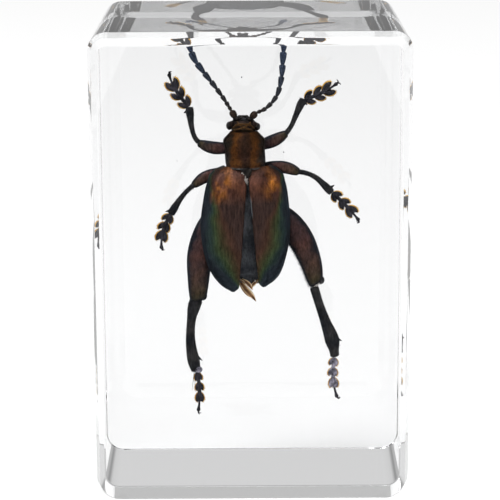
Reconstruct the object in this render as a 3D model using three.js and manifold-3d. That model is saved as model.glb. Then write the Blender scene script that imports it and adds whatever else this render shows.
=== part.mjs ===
// A leaf beetle with thick hind legs, sealed in an upright block of clear resin.
// The block is parted in two flat-faced halves behind the beetle's middle, and each half holds
// its side of a pocket that follows the beetle. Millimetres, +Z up, the beetle's back faces -Y.

import * as THREE from 'three';
import { mergeVertices } from 'three/addons/utils/BufferGeometryUtils.js';
import Module from 'manifold-3d';

const wasm = await Module();
wasm.setup();

// Driving dimensions of the block.
const BLOCK_WIDTH = 29.2;
const BLOCK_DEPTH = 25.6;
const BLOCK_HEIGHT = 44.1;
const CORNER_RADIUS = 1.7;

// Two flat bevels ground round the front face, one on the other. Each would meet the face at size
// in from the walls, and the walls at depth behind the face.
const FACE_BEVEL = { size: 0.93, depth: 1.4 };
const WALL_BEVEL = { size: 0.6, depth: 2.24 };

// A third, flatter bevel runs along the front face's foot only, from this high to this far back.
const FOOT_BEVEL = { height: 1.97, depth: 1.15 };

const PARTING_Y = 1;
const POCKET_GAP = 0.3;

// Driving dimensions of the beetle. Its long axis stands upright at BODY_X. The beetle, its pocket
// and the parting plane are given in the beetle's own frame, which sits here in the block.
const BEETLE_PLACE = [0, -0.8, 0.32];
const BODY_X = -0.5;
const BODY_Y = -0.4;
const HEAD_X = -0.7;
const HEAD_TOP = 35;
const NECK_Z = 33.8;
const WAIST_Z = 30.3;
const WING_TIP_Z = 18.8;
const WING_HALF_WIDTH = 4.15;
const WING_DEPTH = 3;
const SHOULDER_HALF_WIDTH = 3.4;
const TIP_GAP = 1.2;
const BELLY_HALF_WIDTH = 3.4;
const BELLY_DEPTH = 2;
const BELLY_TOP = 31.6;
const BELLY_BOTTOM = 19;
const SHREDS_Z = 20.5;
const THORAX_RADIUS = 1.95;
const HEAD_RADIUS = 1.25;
const EYE_RADIUS = 0.36;
const BROW_RADIUS = 0.3;

// Half-widths along one body or limb part: [share of its length, share of its thickest place].
const THORAX = [[0, 0.92], [0.3, 0.87], [0.55, 0.93], [0.75, 1], [0.92, 0.82], [1, 0.62]];
const ROOT = [[0, 0.6], [1, 1], [1.1, 0.9]];
const CLUB = [[-0.1, 0.9], [0.2, 1], [0.85, 0.85], [1, 0.5]];
const SHIN = [[0, 0.65], [0.85, 1], [1, 0.8]];
const BEAD = [[0, 0.5], [0.65, 1], [1, 0.6]];
const LOBE = [[0, 0.4], [0.65, 1], [1, 0]];
const STALK = [[0, 1], [1, 1]];

// Each leg's joints, from the body outwards: the thigh ends at the knee and bows at the arch, the
// shin bows at the bend. thigh and shin are half-widths, toe is a lobe's.
const LEGS = [
  {
    hip: [-1.2, 0.7, 32], arch: [-3.3, 0.5, 32.1], knee: [-4.9, 0.4, 32.7], bend: [-5.5, 0.5, 34],
    ankle: [-5.6, 0.9, 35.7], turn: [-7.3, 1.1, 37.5], tip: [-7.6, 1.1, 39.1],
    thigh: 0.55, shin: 0.3, toe: 0.33,
  },
  {
    hip: [0.1, 0.7, 32.2], arch: [1.9, 0.5, 32.7], knee: [3.3, 0.4, 33.5], bend: [4.1, 0.5, 34.9],
    ankle: [4.9, 0.9, 36.5], turn: [6.9, 1.1, 37.2], tip: [8.1, 1.1, 38.1],
    thigh: 0.55, shin: 0.3, toe: 0.33,
  },
  {
    hip: [-1.8, 0.8, 29.9], arch: [-4, 0.6, 29.4], knee: [-5.4, 0.5, 28.5], bend: [-6.3, 0.6, 27.6],
    ankle: [-7.5, 0.9, 25.9], turn: [-8.6, 1.1, 24.2], tip: [-8.5, 1.1, 22.3],
    thigh: 0.52, shin: 0.3, toe: 0.31,
  },
  {
    hip: [0.6, 0.8, 30.2], arch: [2.9, 0.6, 30.3], knee: [4.5, 0.5, 29.8], bend: [6.1, 0.6, 29.2],
    ankle: [7.5, 0.9, 27.8], turn: [9.3, 1.1, 26.2], tip: [10.2, 1.1, 24.9],
    thigh: 0.55, shin: 0.3, toe: 0.31,
  },
  {
    hip: [-3.2, 1, 26.2], arch: [-4.9, 0.8, 21.5], knee: [-5.2, 1, 17.1], bend: [-5.9, 1, 14.5],
    ankle: [-5.5, 1.1, 10.3], turn: [-4.9, 1.1, 8.2], tip: [-5.2, 1.1, 6.2],
    thigh: 1.12, shin: 0.52, toe: 0.24,
  },
  {
    hip: [1.8, 1, 26.4], arch: [5.1, 0.8, 22.8], knee: [6.2, 1, 18.4], bend: [7, 1, 15.5],
    ankle: [8.1, 1.1, 11.7], turn: [7.5, 1.1, 9.6], tip: [8.2, 1.1, 7.5],
    thigh: 1.2, shin: 0.58, toe: 0.24,
  },
];

// Each antenna's course, from its socket on the head to its tip under the block's top.
const ANTENNAE = [
  [[-1.3, -0.4, 34.8], [-2.2, -0.4, 36.4], [-5.2, -0.3, 40.4], [-5.7, -0.5, 42], [-5.8, -2.2, 42.5]],
  [[0, -0.4, 34.8], [2.1, -0.4, 36.5], [2.9, -0.3, 38.6], [3.1, -0.5, 42], [3.2, -2.2, 42.5]],
];
const BEADS = 11;
const BEAD_RADIUS_AT_BASE = 0.2;
const BEAD_RADIUS_AT_TIP = 0.31;
const BEAD_LAP = 0.012;

// How deep a section is for its width, from the insect's back to its belly.
const THORAX_DEPTH_RATIO = 0.92;
const THIGH_DEPTH_RATIO = 0.85;
const PAD_DEPTH_RATIO = 0.7;
const SHRED_DEPTH_RATIO = 0.4;

// Sides of the solids' sections.
const THORAX_SIDES = 12;
const THIGH_SIDES = 8;
const SHIN_SIDES = 6;
const THIN_SIDES = 4;

const PAD_COUNT = 3;
const PAD_STEP = 0.23;
const PAD_LENGTH = 1.1;
const PAD_SPLAY = 0.45;
const CLAW_RADIUS = 0.12;
const CLAW_LENGTH = 0.5;
const CLAW_SPLAY = 0.7;

// The pocket's turned hollows, as half-widths like those above, and how far an antenna's curve
// bows out from the straight trenches between its points.
const HIND_HOLLOW = [[0, 0.35], [0.1, 0.74], [0.25, 1], [0.5, 1.1], [0.85, 1.05], [1, 0.92]];
const FORE_HOLLOW = [[0, 1.07], [0.72, 1.07], [0.85, 1], [1, 0.6]];
const HIND_HOLLOW_DEPTH_RATIO = 0.76;
const POCKET_BELLY_Y = BODY_Y - 0.2;
const POCKET_BOTTOM = 16.9;
const COURSE_BOW = 0.15;

const DEPTH_AXIS = new THREE.Vector3(0, 1, 0);

// --- Solids -------------------------------------------------------------------------------

// A closed geometry as a solid: shared vertices merged, triangles with no area left out.
function solidOf(geometry) {
  geometry.deleteAttribute('normal');
  geometry.deleteAttribute('uv');
  const merged = mergeVertices(geometry, 1e-4);
  const corners = merged.index.array;
  const triangles = [];
  for (let i = 0; i < corners.length; i += 3) {
    const [a, b, c] = corners.slice(i, i + 3);
    if (a !== b && b !== c && c !== a) {
      triangles.push(a, b, c);
    }
  }
  return new wasm.Manifold(new wasm.Mesh({
    numProp: 3,
    vertProperties: new Float32Array(merged.attributes.position.array),
    triVerts: new Uint32Array(triangles),
  }));
}

function joined(solids) {
  return solids.reduce((whole, solid) => whole.add(solid));
}

function meshOf(name, solid, material) {
  const { vertProperties, triVerts } = solid.getMesh();
  const geometry = new THREE.BufferGeometry();
  geometry.setAttribute('position', new THREE.BufferAttribute(vertProperties, 3));
  geometry.setIndex(new THREE.BufferAttribute(triVerts, 1));
  geometry.computeVertexNormals();
  const mesh = new THREE.Mesh(geometry, material);
  mesh.name = name;
  return mesh;
}

function ellipsoid(centre, radii, around, down) {
  const geometry = new THREE.SphereGeometry(1, around, down);
  geometry.scale(...radii);
  geometry.translate(...centre);
  return solidOf(geometry);
}

// A turned limb part between two points. Its section is depthRatio times as deep as it is wide.
function spindle(from, to, radius, profile, sides, depthRatio = 1) {
  const start = new THREE.Vector3(...from);
  const along = new THREE.Vector3(...to).sub(start);
  const length = along.length();
  const points = profile.map(([t, share]) => new THREE.Vector2(share * radius, t * length));
  points.unshift(new THREE.Vector2(0, points[0].y));
  points.push(new THREE.Vector2(0, points.at(-1).y));
  const geometry = new THREE.LatheGeometry(points, sides);
  geometry.scale(1, 1, depthRatio);
  const axis = along.normalize();
  const side = new THREE.Vector3().crossVectors(axis, DEPTH_AXIS).normalize();
  const depth = new THREE.Vector3().crossVectors(side, axis);
  geometry.applyMatrix4(new THREE.Matrix4().makeBasis(side, axis, depth));
  geometry.translate(...from);
  return solidOf(geometry);
}

// A shape drawn in the upright X-Z plane, given its thickness from y0 back to y1.
function plate(shape, y0, y1, bevel = {}) {
  const geometry = new THREE.ExtrudeGeometry(shape, { depth: y1 - y0, bevelEnabled: false, ...bevel });
  geometry.rotateX(Math.PI / 2);
  geometry.translate(0, y1, 0);
  return solidOf(geometry);
}

// --- Resin block --------------------------------------------------------------------------

// The block with one of its bevels. Seen from the front its four corners are round. It runs on past
// the back face, where it is cut off.
function bevelledBlock({ size, depth }) {
  const half = BLOCK_WIDTH / 2;
  const shape = new THREE.Shape();
  shape.moveTo(-half + CORNER_RADIUS, 0);
  shape.lineTo(half - CORNER_RADIUS, 0);
  shape.absarc(half - CORNER_RADIUS, CORNER_RADIUS, CORNER_RADIUS, -Math.PI / 2, 0);
  shape.absarc(half - CORNER_RADIUS, BLOCK_HEIGHT - CORNER_RADIUS, CORNER_RADIUS, 0, Math.PI / 2);
  shape.absarc(-half + CORNER_RADIUS, BLOCK_HEIGHT - CORNER_RADIUS, CORNER_RADIUS, Math.PI / 2, Math.PI);
  shape.absarc(-half + CORNER_RADIUS, CORNER_RADIUS, CORNER_RADIUS, Math.PI, 1.5 * Math.PI);
  return plate(shape, -BLOCK_DEPTH / 2 + depth, BLOCK_DEPTH / 2 + 1, {
    bevelEnabled: true,
    bevelThickness: depth,
    bevelSize: size,
    bevelOffset: -size,
    bevelSegments: 1,
    curveSegments: 4,
  });
}

// The wedge that the foot bevel takes off.
function footWedge() {
  const { height, depth } = FOOT_BEVEL;
  const slope = height / depth;
  const shape = new THREE.Shape();
  shape.moveTo(-1, -slope);
  shape.lineTo(depth + 1, -slope);
  shape.lineTo(-1, height + slope);
  const geometry = new THREE.ExtrudeGeometry(shape, { depth: BLOCK_WIDTH + 2, bevelEnabled: false });
  geometry.rotateX(Math.PI / 2);
  geometry.rotateZ(Math.PI / 2);
  geometry.translate(-BLOCK_WIDTH / 2 - 1, -BLOCK_DEPTH / 2, 0);
  return solidOf(geometry);
}

// The part of a solid between two depths.
function slice(solid, y0, y1) {
  const width = BLOCK_WIDTH + 2;
  const height = BLOCK_HEIGHT + 2;
  const cutter = new THREE.BoxGeometry(width, y1 - y0, height);
  cutter.translate(0, (y0 + y1) / 2, BLOCK_HEIGHT / 2);
  return solid.intersect(solidOf(cutter));
}

// --- Beetle body --------------------------------------------------------------------------

// One wing case: a bowed outline cut from a dome. side is -1 for the left one, 1 for the right.
// The inner edges part towards the tips.
function wingCase(side) {
  const x = (offset) => BODY_X + side * offset;
  const bow = WING_HALF_WIDTH + 0.15;
  const flank = SHOULDER_HALF_WIDTH + 0.1;
  const shape = new THREE.Shape();
  shape.moveTo(x(-0.15), WAIST_Z - 0.3);
  shape.lineTo(x(SHOULDER_HALF_WIDTH - 0.7), WAIST_Z);
  shape.quadraticCurveTo(x(SHOULDER_HALF_WIDTH), WAIST_Z, x(flank), WAIST_Z - 0.9);
  shape.bezierCurveTo(x(bow), WAIST_Z - 3.4, x(bow), WING_TIP_Z + 4, x(3.2), WING_TIP_Z + 1.7);
  shape.quadraticCurveTo(x(2.5), WING_TIP_Z, x(1.5), WING_TIP_Z);
  shape.quadraticCurveTo(x(TIP_GAP / 2 + 0.1), WING_TIP_Z, x(TIP_GAP / 2), WING_TIP_Z + 1);
  const outline = plate(shape, BODY_Y - WING_DEPTH, BODY_Y + 0.4, { curveSegments: 5 });
  const dome = ellipsoid(
    [BODY_X + side * 0.3, BODY_Y + 0.1, (WAIST_Z + WING_TIP_Z) / 2 + 0.6],
    [WING_HALF_WIDTH - 0.15, WING_DEPTH, (WAIST_Z - WING_TIP_Z) * 0.64], 16, 10,
  );
  return outline.intersect(dome);
}

function headSolids() {
  const crown = ellipsoid([HEAD_X, BODY_Y - 0.1, HEAD_TOP - 0.9], [HEAD_RADIUS, 1.1, 0.95], 10, 8);
  const solids = [crown];
  for (const side of [-1, 1]) {
    const eye = [HEAD_X + side * HEAD_RADIUS, BODY_Y - 0.1, HEAD_TOP - 0.65];
    const brow = [HEAD_X + side * 0.48 - 0.15, BODY_Y - 0.1, HEAD_TOP - 0.05];
    solids.push(ellipsoid(eye, [EYE_RADIUS, EYE_RADIUS * 1.2, EYE_RADIUS], 8, 6));
    solids.push(ellipsoid(brow, [BROW_RADIUS, BROW_RADIUS * 1.3, BROW_RADIUS], 6, 5));
  }
  return solids;
}

// Two torn shreds of the belly's tip hang out below the wing cases.
function shredSolids() {
  const y = BODY_Y + 0.3;
  return [
    spindle([BODY_X + 0.2, y, SHREDS_Z], [BODY_X + 1, y, 17.5], 0.5, LOBE, THIN_SIDES, SHRED_DEPTH_RATIO),
    spindle([BODY_X, y, SHREDS_Z], [BODY_X - 0.5, y, 17.9], 0.4, LOBE, THIN_SIDES, SHRED_DEPTH_RATIO),
  ];
}

// Head, thorax, belly and wing cases, whose neighbours overlap and grow together.
function bodySolids() {
  const waist = [BODY_X, BODY_Y, WAIST_Z - 0.2];
  const neck = [BODY_X, BODY_Y, NECK_Z + 0.1];
  const bellyCentre = [BODY_X, BODY_Y + 0.6, (BELLY_TOP + BELLY_BOTTOM) / 2];
  const bellyRadii = [BELLY_HALF_WIDTH, BELLY_DEPTH, (BELLY_TOP - BELLY_BOTTOM) / 2];
  return [
    ...headSolids(),
    spindle(waist, neck, THORAX_RADIUS, THORAX, THORAX_SIDES, THORAX_DEPTH_RATIO),
    ellipsoid(bellyCentre, bellyRadii, 12, 8),
    wingCase(-1),
    wingCase(1),
    ...shredSolids(),
  ];
}

// --- Legs and antennae --------------------------------------------------------------------

function footPath({ ankle, turn, tip }) {
  return new THREE.QuadraticBezierCurve3(
    new THREE.Vector3(...ankle), new THREE.Vector3(...turn), new THREE.Vector3(...tip),
  );
}

// The toes: three split pads, then a thin last joint with a pair of hooked claws.
function footSolids(leg) {
  const { tip, toe } = leg;
  const path = footPath(leg);
  const solids = [];
  for (let i = 0; i < PAD_COUNT; i += 1) {
    const base = path.getPointAt(i * PAD_STEP);
    const next = path.getPointAt((i + 1) * PAD_STEP);
    const heading = next.clone().sub(base).normalize();
    solids.push(spindle(base.toArray(), next.toArray(), CLAW_RADIUS, STALK, THIN_SIDES));
    for (const turn of [-PAD_SPLAY, PAD_SPLAY]) {
      const end = heading.clone().applyAxisAngle(DEPTH_AXIS, turn).multiplyScalar(PAD_LENGTH).add(base);
      solids.push(spindle(base.toArray(), end.toArray(), toe, LOBE, THIN_SIDES, PAD_DEPTH_RATIO));
    }
  }
  const lastJoint = path.getPointAt(PAD_COUNT * PAD_STEP - 0.05).toArray();
  solids.push(spindle(lastJoint, tip, CLAW_RADIUS * 1.4, BEAD, THIN_SIDES));
  const outward = path.getTangentAt(1);
  const root = new THREE.Vector3(...tip).addScaledVector(outward, -CLAW_RADIUS);
  for (const turn of [-CLAW_SPLAY, CLAW_SPLAY]) {
    const end = outward.clone().applyAxisAngle(DEPTH_AXIS, turn).multiplyScalar(CLAW_LENGTH).add(root);
    solids.push(spindle(root.toArray(), end.toArray(), CLAW_RADIUS, LOBE, THIN_SIDES));
  }
  return solids;
}

function legSolids(leg) {
  const { hip, arch, knee, bend, ankle, thigh, shin } = leg;
  return [
    spindle(hip, arch, thigh, ROOT, THIGH_SIDES, THIGH_DEPTH_RATIO),
    spindle(arch, knee, thigh, CLUB, THIGH_SIDES, THIGH_DEPTH_RATIO),
    spindle(knee, bend, shin * 0.8, STALK, SHIN_SIDES),
    spindle(bend, ankle, shin, SHIN, SHIN_SIDES),
    ...footSolids(leg),
  ];
}

// The beads of one antenna lengthen and thicken outwards. Each reaches a little into the next,
// and the first is swollen.
function antennaSolids(course) {
  const curve = new THREE.CatmullRomCurve3(course.map((point) => new THREE.Vector3(...point)));
  const share = (i) => (i / BEADS) * (0.7 + (0.3 * i) / BEADS);
  const solids = [];
  for (let i = 0; i < BEADS; i += 1) {
    const from = curve.getPointAt(share(i)).toArray();
    const to = curve.getPointAt(Math.min(1, share(i + 1) + BEAD_LAP)).toArray();
    const radius = THREE.MathUtils.lerp(BEAD_RADIUS_AT_BASE, BEAD_RADIUS_AT_TIP, i / (BEADS - 1));
    solids.push(spindle(from, to, i === 0 ? radius * 1.5 : radius, BEAD, THIN_SIDES));
  }
  return solids;
}

// --- Pocket -------------------------------------------------------------------------------

// A straight trench around one limb part, open to the parting plane.
function trench(from, to, radius) {
  const reach = radius + POCKET_GAP;
  const a = new THREE.Vector2(from[0], from[2]);
  const b = new THREE.Vector2(to[0], to[2]);
  const along = b.clone().sub(a).setLength(reach);
  const across = new THREE.Vector2(-along.y, along.x);
  a.sub(along);
  b.add(along);
  const shape = new THREE.Shape([
    a.clone().add(across), a.clone().sub(across), b.clone().sub(across), b.clone().add(across),
  ]);
  const y0 = Math.min(from[1] - reach, to[1] - reach, PARTING_Y - POCKET_GAP);
  const y1 = Math.max(from[1] + reach, to[1] + reach, PARTING_Y + POCKET_GAP);
  return plate(shape, y0, y1);
}

// The pocket's body is two turned hollows, one around the belly and wing cases and one around
// the thorax and head.
function pocketSolid() {
  const solids = [
    spindle(
      [BODY_X, POCKET_BELLY_Y, POCKET_BOTTOM], [BODY_X, POCKET_BELLY_Y, WAIST_Z + 4 * POCKET_GAP],
      WING_HALF_WIDTH + POCKET_GAP, HIND_HOLLOW, THORAX_SIDES, HIND_HOLLOW_DEPTH_RATIO,
    ),
    spindle(
      [BODY_X, BODY_Y, WAIST_Z - 1], [BODY_X, BODY_Y, HEAD_TOP + BROW_RADIUS + 0.4],
      THORAX_RADIUS + POCKET_GAP, FORE_HOLLOW, THORAX_SIDES,
    ),
  ];
  for (const leg of LEGS) {
    const { hip, arch, knee, bend, ankle, tip, thigh, shin, toe } = leg;
    const instep = footPath(leg).getPointAt(0.5).toArray();
    const footReach = PAD_LENGTH * Math.sin(PAD_SPLAY) + toe;
    solids.push(trench(hip, arch, thigh));
    solids.push(trench(arch, knee, thigh));
    solids.push(trench(knee, bend, shin));
    solids.push(trench(bend, ankle, shin));
    solids.push(trench(ankle, instep, footReach));
    solids.push(trench(instep, tip, footReach));
  }
  for (const course of ANTENNAE) {
    for (let i = 1; i < course.length; i += 1) {
      solids.push(trench(course[i - 1], course[i], BEAD_RADIUS_AT_TIP + COURSE_BOW));
    }
  }
  return joined(solids);
}

// --- The three pieces ---------------------------------------------------------------------

const resinMaterial = new THREE.MeshStandardMaterial({
  color: 0xeef1f2, roughness: 0.05, metalness: 0, transparent: true, opacity: 0.35,
});
const beetleMaterial = new THREE.MeshStandardMaterial({ color: 0x37261f, roughness: 0.35, metalness: 0.3 });

const beetle = joined([
  ...bodySolids(),
  ...LEGS.flatMap(legSolids),
  ...ANTENNAE.flatMap(antennaSolids),
]).translate(BEETLE_PLACE);
const block = bevelledBlock(FACE_BEVEL).intersect(bevelledBlock(WALL_BEVEL)).subtract(footWedge());
const hollowBlock = block.subtract(pocketSolid().translate(BEETLE_PLACE));
const partingPlace = PARTING_Y + BEETLE_PLACE[1];
const frontHalf = slice(hollowBlock, -BLOCK_DEPTH, partingPlace);
const backHalf = slice(hollowBlock, partingPlace, BLOCK_DEPTH / 2);

const specimen = new THREE.Group();
specimen.add(meshOf('resin_front_half', frontHalf, resinMaterial));
specimen.add(meshOf('resin_back_half', backHalf, resinMaterial.clone()));
specimen.add(meshOf('beetle', beetle, beetleMaterial));

export default specimen;
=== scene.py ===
import math

import bmesh
import bpy
import numpy as np
from mathutils import Matrix, Vector


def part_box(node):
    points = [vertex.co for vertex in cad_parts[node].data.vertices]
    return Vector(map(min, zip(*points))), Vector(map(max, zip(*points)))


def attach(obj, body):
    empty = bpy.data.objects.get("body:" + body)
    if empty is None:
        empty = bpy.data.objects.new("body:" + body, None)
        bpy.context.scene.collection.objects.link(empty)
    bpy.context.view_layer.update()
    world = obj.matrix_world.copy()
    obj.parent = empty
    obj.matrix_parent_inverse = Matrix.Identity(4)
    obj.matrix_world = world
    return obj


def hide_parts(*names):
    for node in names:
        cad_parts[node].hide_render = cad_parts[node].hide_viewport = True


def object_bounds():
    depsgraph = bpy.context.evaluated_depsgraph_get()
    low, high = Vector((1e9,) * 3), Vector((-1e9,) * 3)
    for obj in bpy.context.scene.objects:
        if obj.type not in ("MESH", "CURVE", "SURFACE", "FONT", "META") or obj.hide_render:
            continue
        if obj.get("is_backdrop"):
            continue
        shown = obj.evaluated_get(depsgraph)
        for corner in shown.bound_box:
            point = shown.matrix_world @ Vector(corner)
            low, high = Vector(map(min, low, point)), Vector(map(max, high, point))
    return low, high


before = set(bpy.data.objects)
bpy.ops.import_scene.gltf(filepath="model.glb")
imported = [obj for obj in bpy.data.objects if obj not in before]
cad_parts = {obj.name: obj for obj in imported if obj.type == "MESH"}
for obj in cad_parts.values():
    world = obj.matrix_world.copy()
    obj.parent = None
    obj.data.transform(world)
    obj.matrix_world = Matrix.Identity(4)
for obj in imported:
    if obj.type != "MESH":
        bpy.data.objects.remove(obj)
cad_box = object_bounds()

# A thick-legged leaf beetle sealed in an upright block of clear casting resin.
# Sizes and places are in millimetres, in the model's frame, and MM turns them into metres.

# --- Camera -------------------------------------------------------------------------------
# A long lens in front of the block and a little above its top, looking down on it, level but for
# a slight roll.

MM = 0.001
CAMERA_PLACE = (0, -189.1, 67.92)
CAMERA_PITCH = math.radians(13.25)
CAMERA_ROLL = math.radians(-0.3)
LENS_LENGTH = 144.6
LENS_SHIFT = (-0.0024, -0.04)

camera_data = bpy.data.cameras.new("camera")
camera_data.lens = LENS_LENGTH
camera_data.sensor_width = 36
camera_data.shift_x, camera_data.shift_y = LENS_SHIFT
camera_data.clip_start = 0.01
camera = bpy.data.objects.new("camera", camera_data)
bpy.context.scene.collection.objects.link(camera)
aim = Matrix.Rotation(math.pi / 2 - CAMERA_PITCH, 4, "X") @ Matrix.Rotation(CAMERA_ROLL, 4, "Z")
camera.matrix_world = Matrix.Translation(Vector(CAMERA_PLACE) * MM) @ aim
bpy.context.scene.camera = camera

# --- Resin block --------------------------------------------------------------------------
# One water-clear casting, ground flat and polished. Seen from the front its corners are round,
# and two flat bevels, softened by the polishing, run round its front face, with a third, flatter
# one along its foot.

CORNER_RADIUS = 1.7
FOOT_CORNER_RADIUS = 2.2
CORNER_STEPS = 14
# How far each bevel would reach in from the walls on the face, and back from the face on the walls.
FACE_BEVEL = (0.93, 1.4)
WALL_BEVEL = (0.6, 2.24)
# How high up the face the foot bevel reaches, and how far in under the block.
FOOT_BEVEL = (1.97, 1.15)
# How far the polishing softens each edge sharper than the angle.
SOFTENING = 0.11
SOFTENING_STEPS = 4
CRISP_ANGLE = math.radians(10)
RESIN_IOR = 1.55
RESIN_TINT = (0.94, 0.942, 0.944, 1)
RESIN_DENSITY = 65.0


def fill(tree, socket, value):
    """Gives a socket a value of its own or links it to another node's output."""
    if isinstance(value, bpy.types.NodeSocket):
        tree.links.new(value, socket)
    else:
        socket.default_value = value


def node(tree, kind, settings=None, inputs=(), **values):
    """A node with its settings, its first inputs filled in their order and others by name."""
    made = tree.nodes.new(kind)
    for key, value in (settings or {}).items():
        setattr(made, key, value)
    for socket, value in zip(made.inputs, inputs):
        fill(tree, socket, value)
    for key, value in values.items():
        fill(tree, made.inputs[key.replace("_", " ")], value)
    return made


def new_material(name):
    """An empty material with its output node."""
    material = bpy.data.materials.new(name)
    material.use_nodes = True
    tree = material.node_tree
    tree.nodes.clear()
    return material, tree, tree.nodes.new("ShaderNodeOutputMaterial")


def add_piece(name, mesh, material, slot, *stands_for):
    """Adds a finished mesh as a piece of the specimen."""
    mesh.materials.append(material)
    piece = bpy.data.objects.new(name, mesh)
    bpy.context.scene.collection.objects.link(piece)
    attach(piece, "root")
    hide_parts(*stands_for)


def outline_point(turn, reach, corner, radius, low, high, foot):
    """A spot on the block's rounded outline, in from the walls, its lower edge raised by foot."""
    x_side, z_side = corner
    x = (high[0] if x_side > 0 else low[0]) - x_side * radius
    z = (high[2] if z_side > 0 else low[2] + foot) - z_side * radius
    return x + (radius - reach) * math.cos(turn), z + (radius - reach) * math.sin(turn)


def ring_points(low, high, reach, back, foot_reach, foot_back, foot_radius=FOOT_CORNER_RADIUS):
    """One ring round the block: reach in from the walls and back from the face, or as given at its foot."""
    points = []
    corners = [(1, 1), (-1, 1), (-1, -1), (1, -1)]
    for number, corner in enumerate(corners):
        at_foot = corner[1] < 0
        for share in np.linspace(0, 1, CORNER_STEPS + 1):
            turn = (number + share) * math.pi / 2
            down = max(0.0, -math.sin(turn)) ** 2
            depth = back + (foot_back - back) * down
            foot = (foot_reach - reach) if at_foot else 0.0
            radius = foot_radius if at_foot else CORNER_RADIUS
            x, z = outline_point(turn, reach, corner, radius, low, high, foot)
            points.append((x, low[1] + depth, z))
    return points


def crossing_of(first, second):
    """Where two bevels cross: how far in from the wall and back from the face."""
    (first_in, first_back), (second_in, second_back) = first, second
    back = (first_in - second_in) / (first_in / first_back - second_in / second_back)
    return first_in * (1 - back / first_back), back


def block_mesh():
    """Rings from the front face's edge to the back face's edge, with their edges softened."""
    low = np.array(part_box("resin_front_half")[0]) / MM
    high = np.array(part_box("resin_back_half")[1]) / MM
    deep = high[1] - low[1]
    foot_in, foot_back = crossing_of(FOOT_BEVEL, WALL_BEVEL)
    side_in, side_back = crossing_of(FACE_BEVEL, WALL_BEVEL)
    rings = [
        ring_points(low, high, FACE_BEVEL[0], 0.0, FOOT_BEVEL[0], 0.0),
        ring_points(low, high, side_in, side_back, foot_in, foot_back),
        ring_points(low, high, 0.0, WALL_BEVEL[1], 0.0, WALL_BEVEL[1]),
        ring_points(low, high, 0.0, deep, 0.0, deep, CORNER_RADIUS),
    ]
    verts = [point for ring in rings for point in ring]
    count = len(rings[0])
    last = len(rings) - 1
    faces = [tuple(range(count))[::-1], tuple(range(last * count, len(verts)))]
    for ring in range(last):
        for i in range(count):
            j = (i + 1) % count
            a, b = ring * count, (ring + 1) * count
            faces.append((a + i, a + j, b + j, b + i))
    mesh = bpy.data.meshes.new("resin_block")
    mesh.from_pydata((np.array(verts) * MM).tolist(), [], faces)
    editable = bmesh.new()
    editable.from_mesh(mesh)
    bmesh.ops.recalc_face_normals(editable, faces=editable.faces)
    crisp = [line for line in editable.edges if line.calc_face_angle(0) > CRISP_ANGLE]
    bmesh.ops.bevel(
        editable, geom=crisp, offset=SOFTENING * MM, offset_type="OFFSET", segments=SOFTENING_STEPS,
        profile=0.5, affect="EDGES", clamp_overlap=True,
    )
    # Each corner's normal leans to the largest faces that meet there, so the flats stay optically flat.
    normals = []
    for corner in editable.verts:
        lean = sum((face.normal * face.calc_area() for face in corner.link_faces), Vector())
        normals.append(lean.normalized())
    editable.to_mesh(mesh)
    editable.free()
    mesh.shade_smooth()
    mesh.normals_split_custom_set_from_vertices(normals)
    return mesh


def resin_material():
    """Clear casting resin, with the faint waviness that hand polishing leaves. Lamps shine through it."""
    material, tree, output = new_material("clear_resin")
    place = node(tree, "ShaderNodeTexCoord").outputs["Object"]
    waves = node(tree, "ShaderNodeTexNoise", Vector=place, Scale=90.0, Detail=1.0)
    bump = node(tree, "ShaderNodeBump", Height=waves.outputs["Fac"], Strength=0.01, Distance=0.0003)
    resin = node(
        tree, "ShaderNodeBsdfPrincipled", Base_Color=(1, 1, 1, 1), Roughness=0.0, IOR=RESIN_IOR,
        Transmission_Weight=1.0, Normal=bump.outputs["Normal"],
    )
    see_through = node(tree, "ShaderNodeBsdfTransparent")
    lamp_ray = node(tree, "ShaderNodeLightPath").outputs["Is Shadow Ray"]
    mixed = node(tree, "ShaderNodeMixShader", None, (lamp_ray, resin.outputs[0], see_through.outputs[0]))
    inside = node(tree, "ShaderNodeVolumeAbsorption", Color=RESIN_TINT, Density=RESIN_DENSITY)
    tree.links.new(mixed.outputs[0], output.inputs["Surface"])
    tree.links.new(inside.outputs[0], output.inputs["Volume"])
    return material


add_piece(
    "resin_block", block_mesh(), resin_material(), "clear_resin", "resin_front_half", "resin_back_half"
)

# --- Belly --------------------------------------------------------------------------------
# The trunk under the wing cases: chest plates that carry the legs, then five belly rings that
# overlap like tiles. Dull blue-black shell, dried in the resin.

# Where the beetle's own frame sits in the block. All its pieces are given in that frame.
BEETLE_PLACE = (0, -0.8, 0.32)
SHELL_SLOT = "beetle_shell"
# Height, middle, half-width, back and belly depth of the trunk, from its front to its tip.
BELLY = [
    (31.5, -0.5, 1.1, -1.0, 1.1), (30.6, -0.5, 1.5, -1.0, 1.7), (30.0, -0.5, 2.1, -1.2, 1.9),
    (29.2, -0.52, 3.0, -1.5, 2.1), (27.4, -0.54, 3.75, -1.7, 2.25), (25.4, -0.56, 3.8, -1.7, 2.15),
    (23.4, -0.56, 3.45, -1.6, 1.95), (21.6, -0.5, 2.7, -1.35, 1.6), (20.2, -0.42, 1.9, -1.05, 1.2),
    (19.1, -0.36, 1.1, -0.7, 0.7),
]
BELLY_ROWS = 130
BELLY_SIDES = 64
BELLY_SQUARENESS = 2.3
BELLY_ROUNDING = 0.06
BELLY_RINGS_TOP = 25.2
BELLY_RING_HEIGHT = 1.25
BELLY_RING_STEP = 0.13
CHEST_GROOVE_WIDTH = 0.16
CHEST_GROOVE_DEPTH = 0.22
# Height and width of each seam across the chest, and its depth as a share of the groove's.
CHEST_SEAMS = ((28.6, 0.13), (25.6, 0.12))
CHEST_SEAM_SHARE = 0.6
# Depth of the shell's grain, and how far its gloss varies either way.
GRAIN_DEPTH = 0.03
SHINE_SWING = 0.12


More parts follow.
